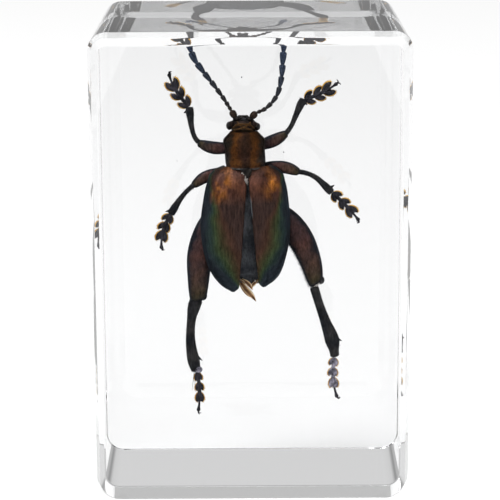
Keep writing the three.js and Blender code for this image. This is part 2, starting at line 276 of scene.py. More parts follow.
def srgb(red, green, blue):
    """A screen colour from 0 to 255 as the linear colour that a shader takes."""
    linear = [((c / 255 + 0.055) / 1.055) ** 2.4 if c > 10 else c / 3294 for c in (red, green, blue)]
    return (*linear, 1.0)


def smooth(knots, places):
    """Values of a smooth line through knots, rows of (place, value, ...), at the given places."""
    knots = np.array(knots, float)
    at, values = knots[:, 0], knots[:, 1:]
    slopes = np.gradient(values, at, axis=0)
    places = np.clip(np.asarray(places, float), at[0], at[-1])
    i = np.clip(np.searchsorted(at, places, side="right") - 1, 0, len(at) - 2)
    step = (at[i + 1] - at[i])[:, None]
    t = (places - at[i])[:, None] / step
    return (
        (1 + 2 * t) * (1 - t) ** 2 * values[i] + t * (1 - t) ** 2 * step * slopes[i]
        + t * t * (3 - 2 * t) * values[i + 1] + t * t * (t - 1) * step * slopes[i + 1]
    )


def eased(count):
    """Places from 0 to 1 that lie closer together at both ends, where a form rounds off."""
    return (1 - np.cos(np.linspace(0, math.pi, count))) / 2


def skin(rings, part=0.0, along_places=None, round_places=None):
    """Vertices, faces and lofts of a closed skin over rings of points. A loft is (along, round, part)."""
    rings = np.asarray(rings, float)
    rows, count = rings.shape[:2]
    corner = np.arange(count)
    beside = (corner + 1) % count
    faces = [tuple(corner[::-1]), tuple(corner + (rows - 1) * count)]
    for row in range(rows - 1):
        a, b = row * count, (row + 1) * count
        faces += list(zip(a + corner, a + beside, b + beside, b + corner))
    along_places = np.linspace(0, 1, rows) if along_places is None else along_places
    round_places = np.linspace(0, 1, count) if round_places is None else round_places
    along, around = np.meshgrid(along_places, round_places, indexing="ij")
    lofts = np.stack([along, around, np.full_like(along, part)], -1)
    return rings.reshape(-1, 3), faces, lofts.reshape(-1, 3)


def mesh_of(name, skins):
    """One mesh from several skins, with each vertex's loft kept for the material."""
    verts, faces, lofts = [], [], []
    for points, polygons, loft in skins:
        start = len(verts)
        verts += points.tolist()
        lofts += loft.tolist()
        faces += [[int(i) + start for i in polygon] for polygon in polygons]
    mesh = bpy.data.meshes.new(name)
    mesh.from_pydata([[(c + o) * MM for c, o in zip(v, BEETLE_PLACE)] for v in verts], [], faces)
    editable = bmesh.new()
    editable.from_mesh(mesh)
    bmesh.ops.recalc_face_normals(editable, faces=editable.faces)
    editable.to_mesh(mesh)
    editable.free()
    mesh.shade_smooth()
    loft = mesh.attributes.new("loft", "FLOAT_VECTOR", "POINT")
    loft.data.foreach_set("vector", np.array(lofts, np.float32).ravel())
    return mesh


def beetle_piece(name, skins, material):
    """Adds a piece of the beetle, one mesh of its skins."""
    add_piece(name, mesh_of(name, skins), material, SHELL_SLOT, "beetle")


def outline(sides, power):
    """Points of a rounded box outline of half-width 1, squarer with a higher power."""
    angles = np.linspace(0, 2 * math.pi, sides, endpoint=False)
    cosine, sine = np.cos(angles), np.sin(angles)
    return (
        np.sign(cosine) * np.abs(cosine) ** (2 / power),
        np.sign(sine) * np.abs(sine) ** (2 / power),
    )


def at_height(x, y, z):
    """Points that lie at one height."""
    return np.stack([x, y, np.full_like(x, z)], -1)


def heights_of(table, rows):
    """Heights from the table's lowest row to its highest, closer together at both ends."""
    return table[0, 0] + (table[-1, 0] - table[0, 0]) * eased(rows)


def swell(places, at, spread):
    """A smooth rise from 0 to 1 and back, round one place."""
    return np.exp(-(((places - at) / spread) ** 2))


def closing(places, rounding, least):
    """The width of a form that closes at both ends, as a share that is 1 between them."""
    return np.sqrt(np.minimum(np.minimum(places, 1 - places) / rounding + least, 1))


def belly_rings():
    table = np.array(sorted(BELLY))
    heights = heights_of(table, BELLY_ROWS)
    closings = closing(np.linspace(0, 1, BELLY_ROWS), BELLY_ROUNDING, 0.02)
    across, deep = outline(BELLY_SIDES, BELLY_SQUARENESS)
    rings = []
    for z, (middle, half, back, front), ends in zip(heights, smooth(table, heights), closings):
        size = ends
        if z < BELLY_RINGS_TOP:
            tile = ((BELLY_RINGS_TOP - z) / BELLY_RING_HEIGHT) % 1
            size *= 1 + BELLY_RING_STEP / half * (tile - 0.5)
        x = middle + half * size * across
        y = (back + front) / 2 + (front - back) / 2 * size * deep
        if z > BELLY_RINGS_TOP:
            groove = swell(x, middle, CHEST_GROOVE_WIDTH) * (deep > 0)
            seam = sum(swell(z, height, width) for height, width in CHEST_SEAMS) * (deep > 0.2)
            y -= CHEST_GROOVE_DEPTH * (groove * ends + seam * CHEST_SEAM_SHARE)
        rings.append(at_height(x, y, z))
    return rings


def math_node(tree, operation, *values):
    """The result of a sum on values, each a number or another node's output."""
    return node(tree, "ShaderNodeMath", {"operation": operation}, values).outputs[0]


def grain_group():
    """Insect shell close up: pits, wrinkles and flecks drawn out along the body, and cloudy mottling."""
    group = bpy.data.node_groups.new("shell_grain", "ShaderNodeTree")
    for name, start in (("Pits", 5000.0), ("Wrinkles", 2500.0), ("Stretch", 0.3), ("Mottle", 700.0)):
        socket = group.interface.new_socket(name, in_out="INPUT", socket_type="NodeSocketFloat")
        socket.default_value = start
    for name in ("Height", "Mottle", "Flecks"):
        group.interface.new_socket(name, in_out="OUTPUT", socket_type="NodeSocketFloat")
    given = group.nodes.new("NodeGroupInput").outputs
    place = node(group, "ShaderNodeTexCoord").outputs["Object"]
    pits = node(group, "ShaderNodeTexVoronoi", Vector=place, Scale=given["Pits"])
    pit = node(group, "ShaderNodeMapRange", Value=pits.outputs["Distance"], From_Max=0.35)
    split = node(group, "ShaderNodeSeparateXYZ", Vector=place).outputs
    drawn = math_node(group, "MULTIPLY", split["Z"], given["Stretch"])
    lengthwise = node(group, "ShaderNodeCombineXYZ", X=split["X"], Y=split["Y"], Z=drawn).outputs[0]
    wrinkles = node(group, "ShaderNodeTexNoise", Vector=lengthwise, Scale=given["Wrinkles"], Detail=3.0)
    rough = math_node(group, "ADD", pit.outputs[0], wrinkles.outputs["Fac"])
    clouds = node(group, "ShaderNodeTexNoise", Vector=place, Scale=given["Mottle"], Detail=4.0)
    fine = math_node(group, "MULTIPLY", given["Wrinkles"], 2.2)
    flecks = node(
        group, "ShaderNodeTexNoise", Vector=lengthwise, Scale=fine, Detail=4.0, Roughness=0.75
    )
    fleck = node(
        group, "ShaderNodeMapRange", Value=flecks.outputs["Fac"], From_Min=0.3, From_Max=0.7,
        To_Min=0.38, To_Max=1.75,
    )
    node(group, "NodeGroupOutput", Height=rough, Mottle=clouds.outputs["Fac"], Flecks=fleck.outputs[0])
    return group


shell_grain = grain_group()


def grain_in(tree, **values):
    """The shell grain's outputs in a material, with its own values."""
    return node(tree, "ShaderNodeGroup", {"node_tree": shell_grain}, **values).outputs


def ramp_of(tree, value, *stops):
    """A colour ramp on value, through stops of (place, colour)."""
    ramp = tree.nodes.new("ShaderNodeValToRGB")
    elements = ramp.color_ramp.elements
    while len(elements) < len(stops):
        elements.new(0.5)
    for element, (place, colour) in zip(elements, stops):
        element.position = place
        element.color = colour
    tree.links.new(value, ramp.inputs[0])
    return ramp.outputs["Color"]


def blended(tree, share, first, second, kind="MIX"):
    """Two colours mixed by a share from 0 to 1, or multiplied by that share."""
    mix = node(tree, "ShaderNodeMix", {"data_type": "RGBA", "blend_type": kind})
    for place, value in ((0, share), (6, first), (7, second)):
        fill(tree, mix.inputs[place], value)
    return mix.outputs[2]


def speckled(tree, colour, grain, share=1.0):
    """A colour with the grain's worn flecks in it, by a share."""
    return blended(tree, share, colour, grain["Flecks"], "MULTIPLY")


def surface(tree, output, colour, height, bump, depth, inverted=False, **gloss):
    """The surface's shader: its colour, a relief of a strength and a depth, and its gloss values."""
    relief = node(
        tree, "ShaderNodeBump", {"invert": inverted}, Height=height, Strength=bump, Distance=depth * MM
    )
    shader = node(
        tree, "ShaderNodeBsdfPrincipled", Base_Color=colour, Normal=relief.outputs["Normal"], **gloss
    )
    tree.links.new(shader.outputs[0], output.inputs["Surface"])


def dark_shell(name, deep, light, roughness=0.4, metallic=0.5, pits=5000.0, bump=0.25, mottle=700.0):
    """Plain dark shell, from a deep colour to a lighter one in cloudy patches."""
    material, tree, output = new_material(name)
    grain = grain_in(tree, Pits=pits, Mottle=mottle)
    clouds = ramp_of(tree, grain["Mottle"], (0.35, deep), (0.65, light))
    shine = node(
        tree, "ShaderNodeMapRange", Value=grain["Mottle"],
        To_Min=roughness + SHINE_SWING, To_Max=roughness - SHINE_SWING,
    )
    surface(
        tree, output, speckled(tree, clouds, grain, 0.85), grain["Height"], bump, GRAIN_DEPTH,
        Metallic=metallic, Roughness=shine.outputs[0], IOR=1.5, Specular_IOR_Level=0.15,
        Specular_Tint=(0.25, 0.28, 0.35, 1),
    )
    return material


belly_shell = dark_shell("belly_shell", srgb(46, 49, 54), srgb(84, 86, 90), pits=3500.0)
beetle_piece("belly", [skin(belly_rings())], belly_shell)

# --- Wing cases ---------------------------------------------------------------------------
# Two hard domed covers, thin shells hinged at the shoulders and parted a little towards the tips.
# Dark copper along the middle, with reddish shoulders under a painted gold highlight, then a green
# stripe that widens towards the tip, and blue-black flanks. Fine streaks run lengthwise.

WING_ROWS = 110
WING_ARC_STEPS = 56
WING_THICKNESS = 0.13
# A wing case climbs gently over its inner share, the crest, then falls round to its outer edge.
CREST_SHARE = 0.14
CREST_STEPS = 8
CREST_START = 0.97
# The beading along the inner edge and the rim along the outer one: share across, spread and height.
INNER_BEAD = (0.035, 0.022, 0.05)
OUTER_RIM = (0.985, 0.015, 0.06)
# How square the fall is, across and in height.
FALL_SQUARENESS = (2.5, 2.2)
# How far the underside stands in from the inner edge, in thicknesses, and how much of a bump's
# height also shows as width at the outer edge.
INNER_INSET = 0.6
BUMP_WIDENING = 0.4
# Inner and outer edge at each height, for the left and the right cover.
WING_EDGES = {
    "left": [
        (30.5, -1.2, -2.6), (30.3, -0.8, -3.1), (29.9, -0.52, -3.66), (29.0, -0.42, -4.05),
        (27.0, -0.55, -4.5), (25.2, -0.68, -4.72), (23.2, -0.82, -4.62), (21.6, -0.95, -4.32),
        (20.4, -1.06, -3.86), (19.4, -1.14, -3.2), (18.8, -1.24, -2.6), (18.45, -1.62, -2.02),
    ],
    "right": [
        (30.55, 0.5, 1.85), (30.3, 0.06, 2.35), (29.9, -0.2, 2.84), (29.0, -0.2, 3.18),
        (27.0, -0.02, 3.52), (25.2, 0.14, 3.64), (23.2, 0.32, 3.54), (21.6, 0.46, 3.2),
        (20.6, 0.56, 2.88), (19.8, 0.64, 2.45), (19.3, 0.74, 1.95), (19.0, 1.02, 1.5),
    ],
}
# How high the dome stands at each height of the body.
WING_HEIGHT = [
    (18.4, 1.0), (19.0, 1.55), (20.0, 2.15), (21.5, 2.7), (23.5, 3.05), (26.0, 3.15), (28.0, 2.95),
    (29.2, 2.5), (29.9, 2.1), (30.3, 1.75), (30.55, 1.45),
]
# Bumps and hollows of a wing case: share across, height, spread across, spread along, depth.
WING_RELIEF = [
    (0.8, 29.0, 0.1, 0.7, 0.26), (0.3, 29.1, 0.18, 0.6, 0.12), (0.58, 29.1, 0.09, 0.7, -0.2),
    (0.35, 27.7, 0.25, 0.5, -0.06), (0.68, 27.5, 0.12, 0.6, -0.06),
]
# Dents that only the right cover has, one of them a crease by its base.
RIGHT_DENTS = [
    (0.55, 29.75, 0.12, 0.12, -0.26), (0.68, 29.5, 0.08, 0.14, -0.2), (0.4, 29.6, 0.1, 0.16, 0.1),
]


def wing_rings(side):
    """Rings of one thin cover, its outside then its inside, and each ring point's share across."""
    edges = np.array(WING_EDGES[side])[::-1]
    heights = heights_of(edges, WING_ROWS)
    rise = smooth(WING_HEIGHT, heights)[:, 0]
    fall = np.linspace(0, math.pi / 2, WING_ARC_STEPS)
    lead = np.linspace(0, CREST_SHARE, CREST_STEPS, endpoint=False)
    beyond = CREST_SHARE + (1 - CREST_SHARE) * np.sin(fall) ** (2 / FALL_SQUARENESS[0])
    share = np.concatenate([lead, beyond])
    climb = CREST_START + (1 - CREST_START) * np.sin(lead / CREST_SHARE * math.pi / 2)
    dome = np.concatenate([climb, np.cos(fall) ** (2 / FALL_SQUARENESS[1])])
    bead, rim = (height * swell(share, at, spread) for at, spread, height in (INNER_BEAD, OUTER_RIM))
    rings = []
    for z, (inner, outer), top in zip(heights, smooth(edges, heights), rise):
        width = outer - inner
        relief = np.zeros_like(share)
        for at, height, wide, long, depth in WING_RELIEF + (RIGHT_DENTS if side == "right" else []):
            relief += depth * swell(share, at, wide) * swell(z, height, long)
        sign = math.copysign(1, width)
        x = inner + width * share + sign * (rim + relief * share * BUMP_WIDENING)
        y = -top * dome - relief * dome - bead
        inset = sign * WING_THICKNESS
        under_x = inner + inset * INNER_INSET + (width - inset * (1 + INNER_INSET)) * share
        under_y = -(top - WING_THICKNESS) * dome - relief * dome
        rings.append(np.concatenate([at_height(x, y, z), at_height(under_x, under_y, z)[::-1]]))
    return rings, np.concatenate([share, share[::-1]])


def flecked_shell(tree, output, colour, grain, roughness=0.38, metallic=0.75, bump=0.5):
    """Metallic shell of a given colour, roughened by its grain, with paler worn flecks."""
    surface(
        tree, output, speckled(tree, colour, grain), grain["Height"], bump, GRAIN_DEPTH,
        Metallic=metallic, Roughness=roughness, IOR=1.5, Specular_IOR_Level=0.1,
        Specular_Tint=(0.3, 0.35, 0.4, 1),
    )


def loft_parts(tree):
    """How far along and how far round its skin a spot lies, and its skin's part."""
    loft = node(tree, "ShaderNodeAttribute", {"attribute_name": "loft"})
    split = node(tree, "ShaderNodeSeparateXYZ", Vector=loft.outputs["Vector"])
    return split.outputs["X"], split.outputs["Y"], split.outputs["Z"]


def clouded(tree, value, grain, reach):
    """A value moved by the grain's cloudy patches, by up to half of reach either way."""
    swing = math_node(tree, "MULTIPLY_ADD", grain["Mottle"], reach, -reach / 2)
    return math_node(tree, "ADD", value, swing)


def grey_ramp(tree, value, *stops):
    """A smooth line of values from 0 to 1 through (place, value) stops."""
    return ramp_of(tree, value, *[(place, (level, level, level, 1)) for place, level in stops])


COPPER = srgb(62, 47, 43)
RUST = srgb(74, 52, 42)
MOSS = srgb(60, 72, 48)
TEAL = srgb(44, 58, 54)
NIGHT = srgb(42, 48, 54)
SHOULDER = srgb(88, 54, 42)
# The gold is a painted highlight for the wing cases' shoulders.
GOLD_HIGHLIGHT = srgb(150, 92, 34)


def wing_material():
    """Along is 0 at the wing case's tip and 1 at its shoulder, across is 0 at its inner edge."""
    material, tree, output = new_material("wing_shell")
    grain = grain_in(tree, Pits=4200.0, Wrinkles=2300.0, Stretch=0.16)
    along, across, part = loft_parts(tree)
    copper_edge = grey_ramp(
        tree, along, (0.03, 0.0), (0.16, 0.05), (0.22, 0.12), (0.36, 0.38), (0.56, 0.52), (0.7, 0.68),
        (0.83, 0.79), (0.9, 0.9), (0.96, 0.98),
    )
    night_edge = grey_ramp(
        tree, along, (0.03, 0.1), (0.16, 0.52), (0.22, 0.74), (0.36, 0.92), (0.56, 0.87), (0.7, 0.82),
        (0.83, 0.91), (0.9, 0.98), (0.96, 1.0),
    )
    zone = node(
        tree, "ShaderNodeMapRange", {"clamp": False}, Value=clouded(tree, across, grain, 0.24),
        From_Min=copper_edge, From_Max=night_edge, To_Min=0.35, To_Max=0.85,
    )
    colour = ramp_of(
        tree, zone.outputs[0], (0.0, COPPER), (0.24, RUST), (0.38, srgb(66, 58, 40)), (0.56, MOSS),
        (0.72, TEAL), (0.88, NIGHT),
    )
    side_band = grey_ramp(tree, across, (0.35, 0.1), (0.5, 0.7), (0.66, 1.0), (0.78, 0.7), (0.88, 0.0))
    high_band = grey_ramp(tree, along, (0.71, 0.0), (0.8, 0.8), (0.88, 1.0), (0.95, 0.4))
    # The gold is a painted highlight: patchy streaks high on the upper side of each case, by its shoulder.
    gold_highlight_share = math_node(tree, "MULTIPLY", side_band, high_band)
    patchy = node(tree, "ShaderNodeMapRange", Value=grain["Mottle"], From_Min=0.47, From_Max=0.64)
    gold_highlight_share = math_node(tree, "MULTIPLY", gold_highlight_share, patchy.outputs[0])
    inside = grey_ramp(tree, across, (0.0, 0.7), (0.76, 0.7), (0.9, 0.0))
    warm = math_node(tree, "MULTIPLY", high_band, inside)
    colour = blended(tree, warm, colour, SHOULDER)
    colour = blended(tree, gold_highlight_share, colour, GOLD_HIGHLIGHT)
    # The right wing case's inner edge catches the light for a short way.
    beading = grey_ramp(tree, across, (0.0, 0.8), (0.018, 0.7), (0.034, 0.0))
    bright_length = grey_ramp(tree, along, (0.58, 0.0), (0.63, 1.0), (0.73, 1.0), (0.78, 0.0))
    bright = math_node(tree, "MULTIPLY", math_node(tree, "MULTIPLY", beading, bright_length), part)
    colour = blended(tree, bright, colour, srgb(122, 130, 136))
    flecked_shell(tree, output, colour, grain, roughness=0.5, bump=0.8)
    return material


wing_shell = wing_material()
wing_skins = []
for part, side in enumerate(("left", "right")):
    rings, across = wing_rings(side)
    wing_skins.append(skin(rings, part, eased(WING_ROWS), across))
beetle_piece("wing_cases", wing_skins, wing_shell)

# --- Thorax -------------------------------------------------------------------------------
# The neck shield: a barrel of one plate, broadest near the front, with a raised rim at its base
# and a small pointed plate between it and the wing cases.

THORAX = [
    (30.22, -0.5, 1.7, -1.9, 1.35), (30.34, -0.5, 1.84, -2.12, 1.55), (30.46, -0.5, 1.81, -2.13, 1.5),
    (30.8, -0.5, 1.86, -2.28, 1.5), (31.5, -0.53, 1.88, -2.44, 1.5), (32.2, -0.57, 1.88, -2.46, 1.5),
    (32.7, -0.6, 1.97, -2.4, 1.45), (33.05, -0.6, 1.93, -2.3, 1.4), (33.4, -0.61, 1.62, -2.15, 1.25),
    (33.7, -0.62, 1.34, -1.98, 1.1), (33.86, -0.62, 1.2, -1.8, 0.95),
]
THORAX_ROWS = 80
THORAX_SIDES = 72
THORAX_SQUARENESS = 2.05
THORAX_ROUNDING = 0.02
THORAX_MIDDLE = -0.57
THORAX_HALF_WIDTH = 1.9


def barrel_rings(table, rows, sides, power, rounding):
    """Rings of an upright body part from rows of (height, middle, half-width, back, belly)."""
    table = np.array(sorted(table))
    heights = heights_of(table, rows)
    closings = closing(eased(rows), rounding, 0.1)
    across, deep = outline(sides, power)
    rings = []
    for z, (middle, half, back, front), ends in zip(heights, smooth(table, heights), closings):
        y = (back + front) / 2 + (front - back) / 2 * ends * deep
        rings.append(at_height(middle + half * ends * across, y, z))
    return rings


def across_share(tree, middle, half):
    """How far a spot lies from a body part's middle, 0 at the middle and 1 at its side."""
    place = node(tree, "ShaderNodeTexCoord").outputs["Object"]
    side = node(tree, "ShaderNodeSeparateXYZ", Vector=place).outputs["X"]
    off = math_node(tree, "SUBTRACT", side, middle * MM)
    return math_node(tree, "DIVIDE", math_node(tree, "ABSOLUTE", off), half * MM)


def thorax_material():
    """Dark copper middle, painted highlights in two cloudy golden bands, and painted shade above the base.
    """
    material, tree, output = new_material("thorax_shell")
    grain = grain_in(tree, Pits=4200.0, Wrinkles=2300.0, Stretch=0.7, Mottle=900.0)
    along = loft_parts(tree)[0]
    place = clouded(tree, across_share(tree, THORAX_MIDDLE, THORAX_HALF_WIDTH), grain, 1.0)
    # The golden bands at the sides are painted highlights.
    colour = ramp_of(
        tree, place, (0.0, srgb(62, 44, 36)), (0.2, srgb(70, 47, 34)), (0.42, srgb(106, 67, 33)),
        (0.58, srgb(100, 63, 32)), (0.76, srgb(62, 48, 37)), (0.95, srgb(46, 41, 38)),
    )
    shadow = ramp_of(
        tree, along, (0.04, (1, 1, 1, 1)), (0.24, (0.95, 0.96, 1, 1)),
        (0.42, (0.52, 0.48, 0.48, 1)), (0.68, (0.68, 0.66, 0.6, 1)), (0.88, (0.44, 0.44, 0.42, 1)),
    )
    colour = blended(tree, 1.0, colour, shadow, "MULTIPLY")
    rim = grey_ramp(tree, along, (0.0, 1.0), (0.05, 0.9), (0.09, 0.0))
    colour = blended(tree, rim, colour, srgb(84, 88, 90))
    flecked_shell(tree, output, colour, grain, roughness=0.52, bump=0.8)
    return material


thorax_shell = thorax_material()
thorax_rings = barrel_rings(THORAX, THORAX_ROWS, THORAX_SIDES, THORAX_SQUARENESS, THORAX_ROUNDING)
thorax_skin = skin(thorax_rings, along_places=eased(THORAX_ROWS))
beetle_piece("thorax", [thorax_skin], thorax_shell)

# The small pointed plate, from its tip up: height, then half-width.
SCUTELLUM = [(29.35, 0.03), (29.6, 0.14), (30.0, 0.36), (30.3, 0.46), (30.5, 0.4)]
SCUTELLUM_X, SCUTELLUM_Y = -0.36, -2.25
SCUTELLUM_STEPS = 24
SCUTELLUM_SLOPE = 0.1
SCUTELLUM_THICKNESS = 0.16


def scutellum_rings():
    table = np.array(SCUTELLUM)
    heights = heights_of(table, SCUTELLUM_STEPS)
    across, deep = outline(SCUTELLUM_STEPS, 2.2)
    rings = []
    for z, half in zip(heights, smooth(table, heights)[:, 0]):
        y = SCUTELLUM_Y - (z - table[0, 0]) * SCUTELLUM_SLOPE + SCUTELLUM_THICKNESS * deep
        rings.append(at_height(SCUTELLUM_X + half * across, y, z))
    return rings


scutellum_shell = dark_shell("scutellum_shell", srgb(24, 26, 30), srgb(52, 46, 40), roughness=0.3)
beetle_piece("scutellum", [skin(scutellum_rings())], scutellum_shell)

# --- Head ---------------------------------------------------------------------------------
# A short broad head bent down to the front, with round eyes at its sides, an arch and a cross of
# ridges on the brow, a socket knob for each antenna, and jaws and feelers underneath.

HEAD = [
    (33.55, -0.65, 0.98, -1.35, 0.5), (33.9, -0.66, 1.12, -1.5, 0.55), (34.2, -0.68, 1.22, -1.55, 0.55),
    (34.5, -0.68, 1.2, -1.5, 0.5), (34.75, -0.68, 1.06, -1.35, 0.4), (34.92, -0.68, 0.85, -1.1, 0.3),
    (35.02, -0.68, 0.5, -0.8, 0.15),
]
HEAD_ROWS = 48
HEAD_SIDES = 56
HEAD_SQUARENESS = 2.2
HEAD_ROUNDING = 0.1
# Knobs on the head: centre, then half-sizes across, deep and high. First the antennae's sockets.
HEAD_KNOBS = [
    ((-1.27, -0.85, 34.98), (0.38, 0.36, 0.28)), ((-0.1, -0.85, 34.95), (0.36, 0.36, 0.25)),
    ((-1.0, -1.1, 35.06), (0.17, 0.2, 0.17)), ((0.08, -1.1, 35.03), (0.15, 0.2, 0.14)),
    ((-1.75, -0.9, 34.52), (0.3, 0.4, 0.3)), ((0.36, -0.9, 34.45), (0.28, 0.4, 0.3)),
]
# Ridges of the brow, an arch and a cross below it: path, then half-width.
BROW_RIDGES = [
    ([(-1.7, -1.12, 34.12), (-1.25, -1.42, 34.48), (-0.68, -1.5, 34.56), (-0.1, -1.42, 34.46),
      (0.32, -1.12, 34.08)], 0.12),
    ([(-1.55, -1.3, 33.98), (-1.0, -1.5, 34.12), (-0.62, -1.54, 34.26), (-0.2, -1.46, 34.52),
      (0.0, -1.2, 34.78)], 0.1),
    ([(0.2, -1.3, 33.92), (-0.2, -1.5, 34.1), (-0.7, -1.54, 34.28), (-1.1, -1.44, 34.58),
      (-1.25, -1.2, 34.8)], 0.1),
]
RIDGE_SHAPE = [(0, 0.5), (0.25, 1.0), (0.5, 0.85), (0.75, 1.0), (1, 0.5)]
RIDGE_STEPS = 26
RIDGE_SIDES = 14
# Heights between which the head's colours run.
HEAD_COLOURS_LOW, HEAD_COLOURS_HIGH = 33.6, 35.2
EYES = [((-1.97, -0.75, 34.34), (0.31, 0.46, 0.4)), ((0.6, -0.75, 34.25), (0.3, 0.46, 0.36))]
JAWS = [
    ((-0.7, 0.35, 34.95), (0.5, 0.3, 0.26)), ((-1.0, 0.55, 35.0), (0.24, 0.2, 0.2)),
    ((-0.4, 0.55, 35.0), (0.24, 0.2, 0.2)),
]
DEPTH = np.array([0.0, 1.0, 0.0])


def knob(centre, radii, sides=28, rows=18):
    """A closed ball of the given half-sizes, as rings from its lower to its upper end."""
    angles = np.linspace(0, 2 * math.pi, sides, endpoint=False)
    rings = []
    for turn in np.linspace(0.02, math.pi - 0.02, rows):
        wide = math.sin(turn) * np.cos(angles)
        deep = math.sin(turn) * np.sin(angles)
        ring = at_height(radii[0] * wide, radii[1] * deep, -radii[2] * math.cos(turn))
        rings.append(ring + np.array(centre))
    return rings


def head_material():
    """Bronze brown, ridges painted gold as a highlight, near black at the sockets, a golden green neck
    band.
    """
    material, tree, output = new_material("head_shell")
    grain = grain_in(tree, Pits=5200.0, Wrinkles=3000.0, Stretch=0.9, Mottle=1600.0)
    height = node(tree, "ShaderNodeSeparateXYZ", Vector=node(tree, "ShaderNodeTexCoord").outputs["Object"])
    rise = node(
        tree, "ShaderNodeMapRange", Value=height.outputs["Z"],
        From_Min=(HEAD_COLOURS_LOW + BEETLE_PLACE[2]) * MM,
        From_Max=(HEAD_COLOURS_HIGH + BEETLE_PLACE[2]) * MM,
    )
    colour = ramp_of(
        tree, clouded(tree, rise.outputs[0], grain, 0.4), (0.0, srgb(32, 36, 28)),
        (0.12, srgb(44, 38, 23)), (0.24, srgb(52, 40, 27)), (0.36, srgb(44, 34, 28)),
        (0.6, srgb(42, 32, 28)), (0.82, srgb(36, 32, 31)),
    )
    # The ridges are the head's part 1, and all else is its part 0. Their gold is a painted highlight.
    colour = blended(tree, loft_parts(tree)[2], colour, srgb(76, 54, 31))
    flecked_shell(tree, output, colour, grain, metallic=0.6)
    return material


def eye_material():
    """Black compound eyes with rows of tiny facets."""
    material, tree, output = new_material("eye")
    place = node(tree, "ShaderNodeTexCoord").outputs["Object"]
    facets = node(tree, "ShaderNodeTexVoronoi", {"feature": "SMOOTH_F1"}, Vector=place, Scale=22000.0)
    tone = ramp_of(tree, facets.outputs["Distance"], (0.0, srgb(30, 24, 22)), (0.6, srgb(9, 8, 9)))
    surface(
        tree, output, tone, facets.outputs["Distance"], 0.5, 0.01, inverted=True, Roughness=0.3,
        Specular_IOR_Level=0.3,
    )
    return material


def course(points, places, step=1e-3):
    """Points of a smooth path through points, and its directions, at shares of its length."""
    points = np.array(points, float)
    lengths = np.concatenate([[0], np.cumsum(np.linalg.norm(np.diff(points, axis=0), axis=1))])
    knots = np.concatenate([(lengths / lengths[-1])[:, None], points], axis=1)
    centre = smooth(knots, places)
    near = np.clip(places, step, 1 - step)
    ahead = smooth(knots, near + step) - smooth(knots, near - step)
    return centre, ahead / np.linalg.norm(ahead, axis=1)[:, None]


def swept(points, places, half_widths, half_depths, sides=20, power=2.0, slants=None):
    """Rings along a path, broad across the insect and deep from back to belly, each tilted by its slant."""
    centre, ahead = course(points, places)
    across = np.cross(ahead, DEPTH)
    across /= np.linalg.norm(across, axis=1)[:, None]
    deep = np.cross(across, ahead)
    a, b = outline(sides, power)
    wide = np.asarray(half_widths)[:, None] * a
    lean = np.zeros_like(wide) if slants is None else np.asarray(slants)[:, None] * wide
    return (
        centre[:, None] + across[:, None] * wide[..., None] + ahead[:, None] * lean[..., None]
        + deep[:, None] * (np.asarray(half_depths)[:, None] * b)[..., None]
    )


head_skins = [skin(barrel_rings(HEAD, HEAD_ROWS, HEAD_SIDES, HEAD_SQUARENESS, HEAD_ROUNDING))]
head_skins += [skin(knob(*shape)) for shape in HEAD_KNOBS + JAWS]
for path, half in BROW_RIDGES:
    places = np.linspace(0, 1, RIDGE_STEPS)
    size = half * smooth(RIDGE_SHAPE, places)[:, 0]
    head_skins.append(skin(swept(path, places, size, size, RIDGE_SIDES), 1.0))
beetle_piece("head", head_skins, head_material())
beetle_piece("eyes", [skin(knob(*shape)) for shape in EYES], eye_material())

# --- Antennae -----------------------------------------------------------------------------
# Eleven beads each: a swollen first one in its socket, a tiny second, then longer and broader
# ones outwards. The tips bend forward under the block's top.

ANTENNAE = [
    [(-1.36, -0.85, 35.02), (-1.7, -0.75, 35.6), (-2.3, -0.5, 36.58), (-3.22, -0.4, 37.9),
     (-4.45, -0.35, 39.5), (-5.2, -0.35, 40.6), (-5.62, -0.5, 41.8), (-5.8, -2.2, 42.5)],
    [(-0.05, -0.85, 34.98), (0.4, -0.75, 35.42), (1.37, -0.5, 35.9), (2.4, -0.4, 37.05),
     (2.82, -0.35, 38.5), (3.0, -0.35, 40.4), (3.1, -0.5, 41.8), (3.2, -2.2, 42.5)],
]
# Each bead's share of the whole length, and its half-width.
BEAD_SHARES = (0.085, 0.04, 0.055, 0.07, 0.08, 0.09, 0.1, 0.11, 0.115, 0.12, 0.135)
BEAD_RADII = (0.33, 0.19, 0.21, 0.22, 0.23, 0.25, 0.27, 0.3, 0.32, 0.33, 0.31)
BEAD_SHAPE = [(0.0, 0.5), (0.15, 0.66), (0.45, 0.88), (0.75, 1.0), (0.93, 0.9), (1.0, 0.55)]
SCAPE_SHAPE = [(0.0, 0.3), (0.25, 0.8), (0.55, 1.0), (0.85, 0.85), (1.0, 0.45)]
BEAD_ROWS = 18
BEAD_SIDES = 18
BEAD_ROUNDING = 0.03
BEAD_OVERLAP = 1.03
BEAD_FLATNESS = 0.85


def antenna_skins(points):
    """One antenna's beads along its path, each a part of its own from 0 at the head to 1 at the tip."""
    skins = []
    start = 0.0
    for number, (share, radius) in enumerate(zip(BEAD_SHARES, BEAD_RADII)):
        places = eased(BEAD_ROWS)
        shape = smooth(SCAPE_SHAPE if number == 0 else BEAD_SHAPE, places)[:, 0]
        width = radius * shape * closing(places, BEAD_ROUNDING, 0.05)
        along = start + places * share * BEAD_OVERLAP
        rings = swept(points, along, width, width * BEAD_FLATNESS, BEAD_SIDES)
        skins.append(skin(rings, number / (len(BEAD_SHARES) - 1)))
        start += share
    return skins


